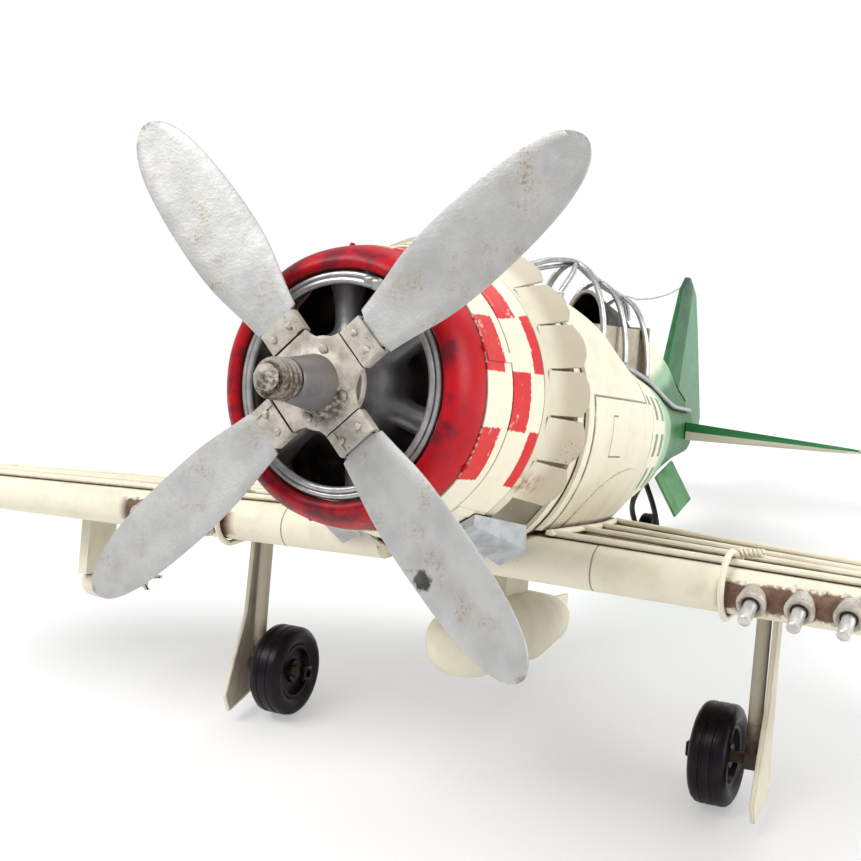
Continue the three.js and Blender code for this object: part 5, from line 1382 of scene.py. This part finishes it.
def make_guns(name, side):
    for index in range(3):
        x, number = GUN_FIRST_X[name] + GUN_PITCH * index, str(index + 1)
        leading, _, radius, _ = wing_at(x)
        front = leading - radius
        tip = front - GUN_REACH
        muzzle = [(0.0, tip + 0.25), (0.8, tip + 0.2), (1.0, tip + 0.05), (1.2, tip + 0.3)]
        breech = [(1.2, front - 1.2), (1.6, front - 0.6), (1.6, front + 2.5), (0, front + 2.5)]
        lip = [(2.1, front - 1.5), (2.5, front - 1.3), (2.6, front - 0.8)]
        foot = [(2.3, front + 2.0), (1.5, front + 2.0), (1.55, front - 1.1)]
        where = (side * x, GUN_Z)
        pivot = Matrix.Translation((0, front, GUN_Z))
        droop = pivot @ Matrix.Rotation(GUN_DROOP, 4, "X") @ pivot.inverted()
        barrel = turned_by(lathe(muzzle + breech, 32, where, closed=False), droop)
        centre = Vector((side * x, front - 0.9, GUN_Z))
        hood = []
        for step in range(25):
            a = radians(-140 + 280 * step / 24)
            hood.append(centre + Vector((2.25 * sin(a), 0.3 * cos(a), 2.25 * cos(a))))
        collar = turned_by(merged(lathe(lip + foot, 32, where), tube(hood, 0.42, 10)), droop)
        gun = f"{name}_{number}"
        mesh_piece("barrel_" + gun, *barrel, "barrel", replaces=["gun_" + gun])
        mesh_piece("gun_collar_" + gun, *collar, "solder")


def make_wings():
    for name, side in SIDES:
        make_wing(name, side)
        make_wing_wires(name, side)
        make_wing_band(name, side)
        make_guns(name, side)


# ---------------------------------------------------------------- landing gear

WHEEL_X, WHEEL_Y, WHEEL_Z = 51.0, 82.0, -66.0
WHEEL_RADIUS, WHEEL_WIDTH = 10.2, 8.0
TAIL_WHEEL_AT = (0, 190, -32.5)
TAIL_WHEEL_RADIUS, TAIL_WHEEL_WIDTH = 5.5, 4.0
LEG_X, LEG_Y = 58.0, 80.5
AXLE_END_X = WHEEL_X - 6.3
DOOR_RIM_X = 60.5
# Reach from the leg's line and height round the rim of a leg's cover.
DOOR_RIM = (
    (-1.8, -36),
    (-2.4, -54),
    (-8.3, -72.4),
    (-6.2, -76.1),
    (4.5, -71.5),
    (2.7, -56),
    (1.9, -48),
    (1.9, -36),
)
TURNED_TO_X = Matrix.Rotation(-QUARTER, 4, "Z")


def rod_x(side, start, end, radius):
    """A round rod along X at the wheel's height, with slightly rounded ends."""
    edge = 0.18
    low, high = sorted((side * start, side * end))
    profile = [(0, low), (radius - edge, low), (radius, low + edge)]
    profile += [(radius, high - edge), (radius - edge, high), (0, high)]
    place = Matrix.Translation((0, WHEEL_Y, WHEEL_Z)) @ TURNED_TO_X
    return turned_by(lathe(profile, 28, closed=False), place)


def wheel_shape(radius, width, groove):
    """A moulded tyre with grooves in its tread, rings on its sides and a dished hub."""
    side = [
        (share * radius, along * width)
        for share, along in (
            (0.14, 0.30),
            (0.24, 0.34),
            (0.27, 0.24),
            (0.50, 0.22),
            (0.54, 0.38),
            (0.60, 0.40),
            (0.62, 0.37),
            (0.68, 0.44),
            (0.78, 0.5),
            (0.86, 0.485),
            (0.94, 0.43),
            (0.985, 0.36),
            (1, 0.28),
        )
    ]
    tread = []
    for centre in (0.14, -0.14):
        for depth, offset in ((0, 0.045), (groove, 0.025), (groove, -0.025), (0, -0.045)):
            tread.append((radius - depth, (centre + offset) * width))
    profile = side + tread + [(r, -along) for r, along in reversed(side)]
    return turned_by(lathe(profile, 72), TURNED_TO_X)


def make_wheel(name, body, centre, radius, width, groove):
    tyre = turned_by(wheel_shape(radius, width, groove), Matrix.Translation(centre))
    mesh_piece(name, *tyre, "rubber", body, [body])


def make_leg(name, side):
    top = wing_at(LEG_X)[3]
    path = [(LEG_Y, top - 5.6), (LEG_Y + 0.3, -57), (WHEEL_Y, WHEEL_Z)]
    strut = tube(rounded_path([(side * LEG_X, y, z) for y, z in path], 8), 1.5, 16)
    axle = rod_x(side, AXLE_END_X, LEG_X + 1.5, 1.15)
    boss = rod_x(side, LEG_X - 1.6, LEG_X + 1.5, 2.1)
    foot = blob((side * LEG_X, LEG_Y, top - 6.2), (2.6, 2.2, 1.0), side + 5)
    leg = merged(strut, axle, boss, foot)
    mesh_piece("leg_" + name, *leg, "leg", replaces=["gear_leg_" + name])
    low_x, high_x = sorted((side * AXLE_END_X, side * (AXLE_END_X + 1.6)))
    low, high = (low_x, WHEEL_Y - 1.5, WHEEL_Z - 1.5), (high_x, WHEEL_Y + 1.5, WHEEL_Z + 1.5)
    soften(mesh_piece("axle_nut_" + name, *box_shape(low, high), "rubber"), 0.3)


def make_door(name, side):
    refined("gear_door_" + name, "door", 0.15)
    path = [Vector((side * DOOR_RIM_X, LEG_Y + reach, z)) for reach, z in DOOR_RIM]
    corners = []
    for a, b in zip(path, path[1:]):
        corners += [a.lerp(b, share) for share in (0.04, 0.5, 0.96)]
    mesh_piece("door_rim_" + name, *tube(corners, 0.38, 8), "cream")


def make_landing_gear():
    for name, side in SIDES:
        make_leg(name, side)
        make_door(name, side)
        place = (side * WHEEL_X, WHEEL_Y, WHEEL_Z)
        make_wheel("tyre_" + name, "main_wheel_" + name, place, WHEEL_RADIUS, WHEEL_WIDTH, 0.22)
    refined("tail_fork", "black", 0)
    make_wheel("tail_tyre", "tail_wheel", TAIL_WHEEL_AT, TAIL_WHEEL_RADIUS, TAIL_WHEEL_WIDTH, 0.15)
    for name, _ in SIDES:
        refined("tail_door_" + name, "tail_door", 0.2)


# ---------------------------------------------------------------- tail and loads


def make_tail_and_loads():
    refined("tail_fin", "fin", 0.25, crease=12)
    for name, _ in SIDES:
        refined("tailplane_" + name, "tailplane", 0.25, crease=20)
    refined("belly_tank", "cream", 0.15, crease=50)
    for name, _ in SIDES:
        refined("wing_bomb_" + name, "cream", 0.15, crease=50)


make_propeller()
make_front()
make_fuselage()
make_cockpit()
make_wings()
make_landing_gear()
make_tail_and_loads()
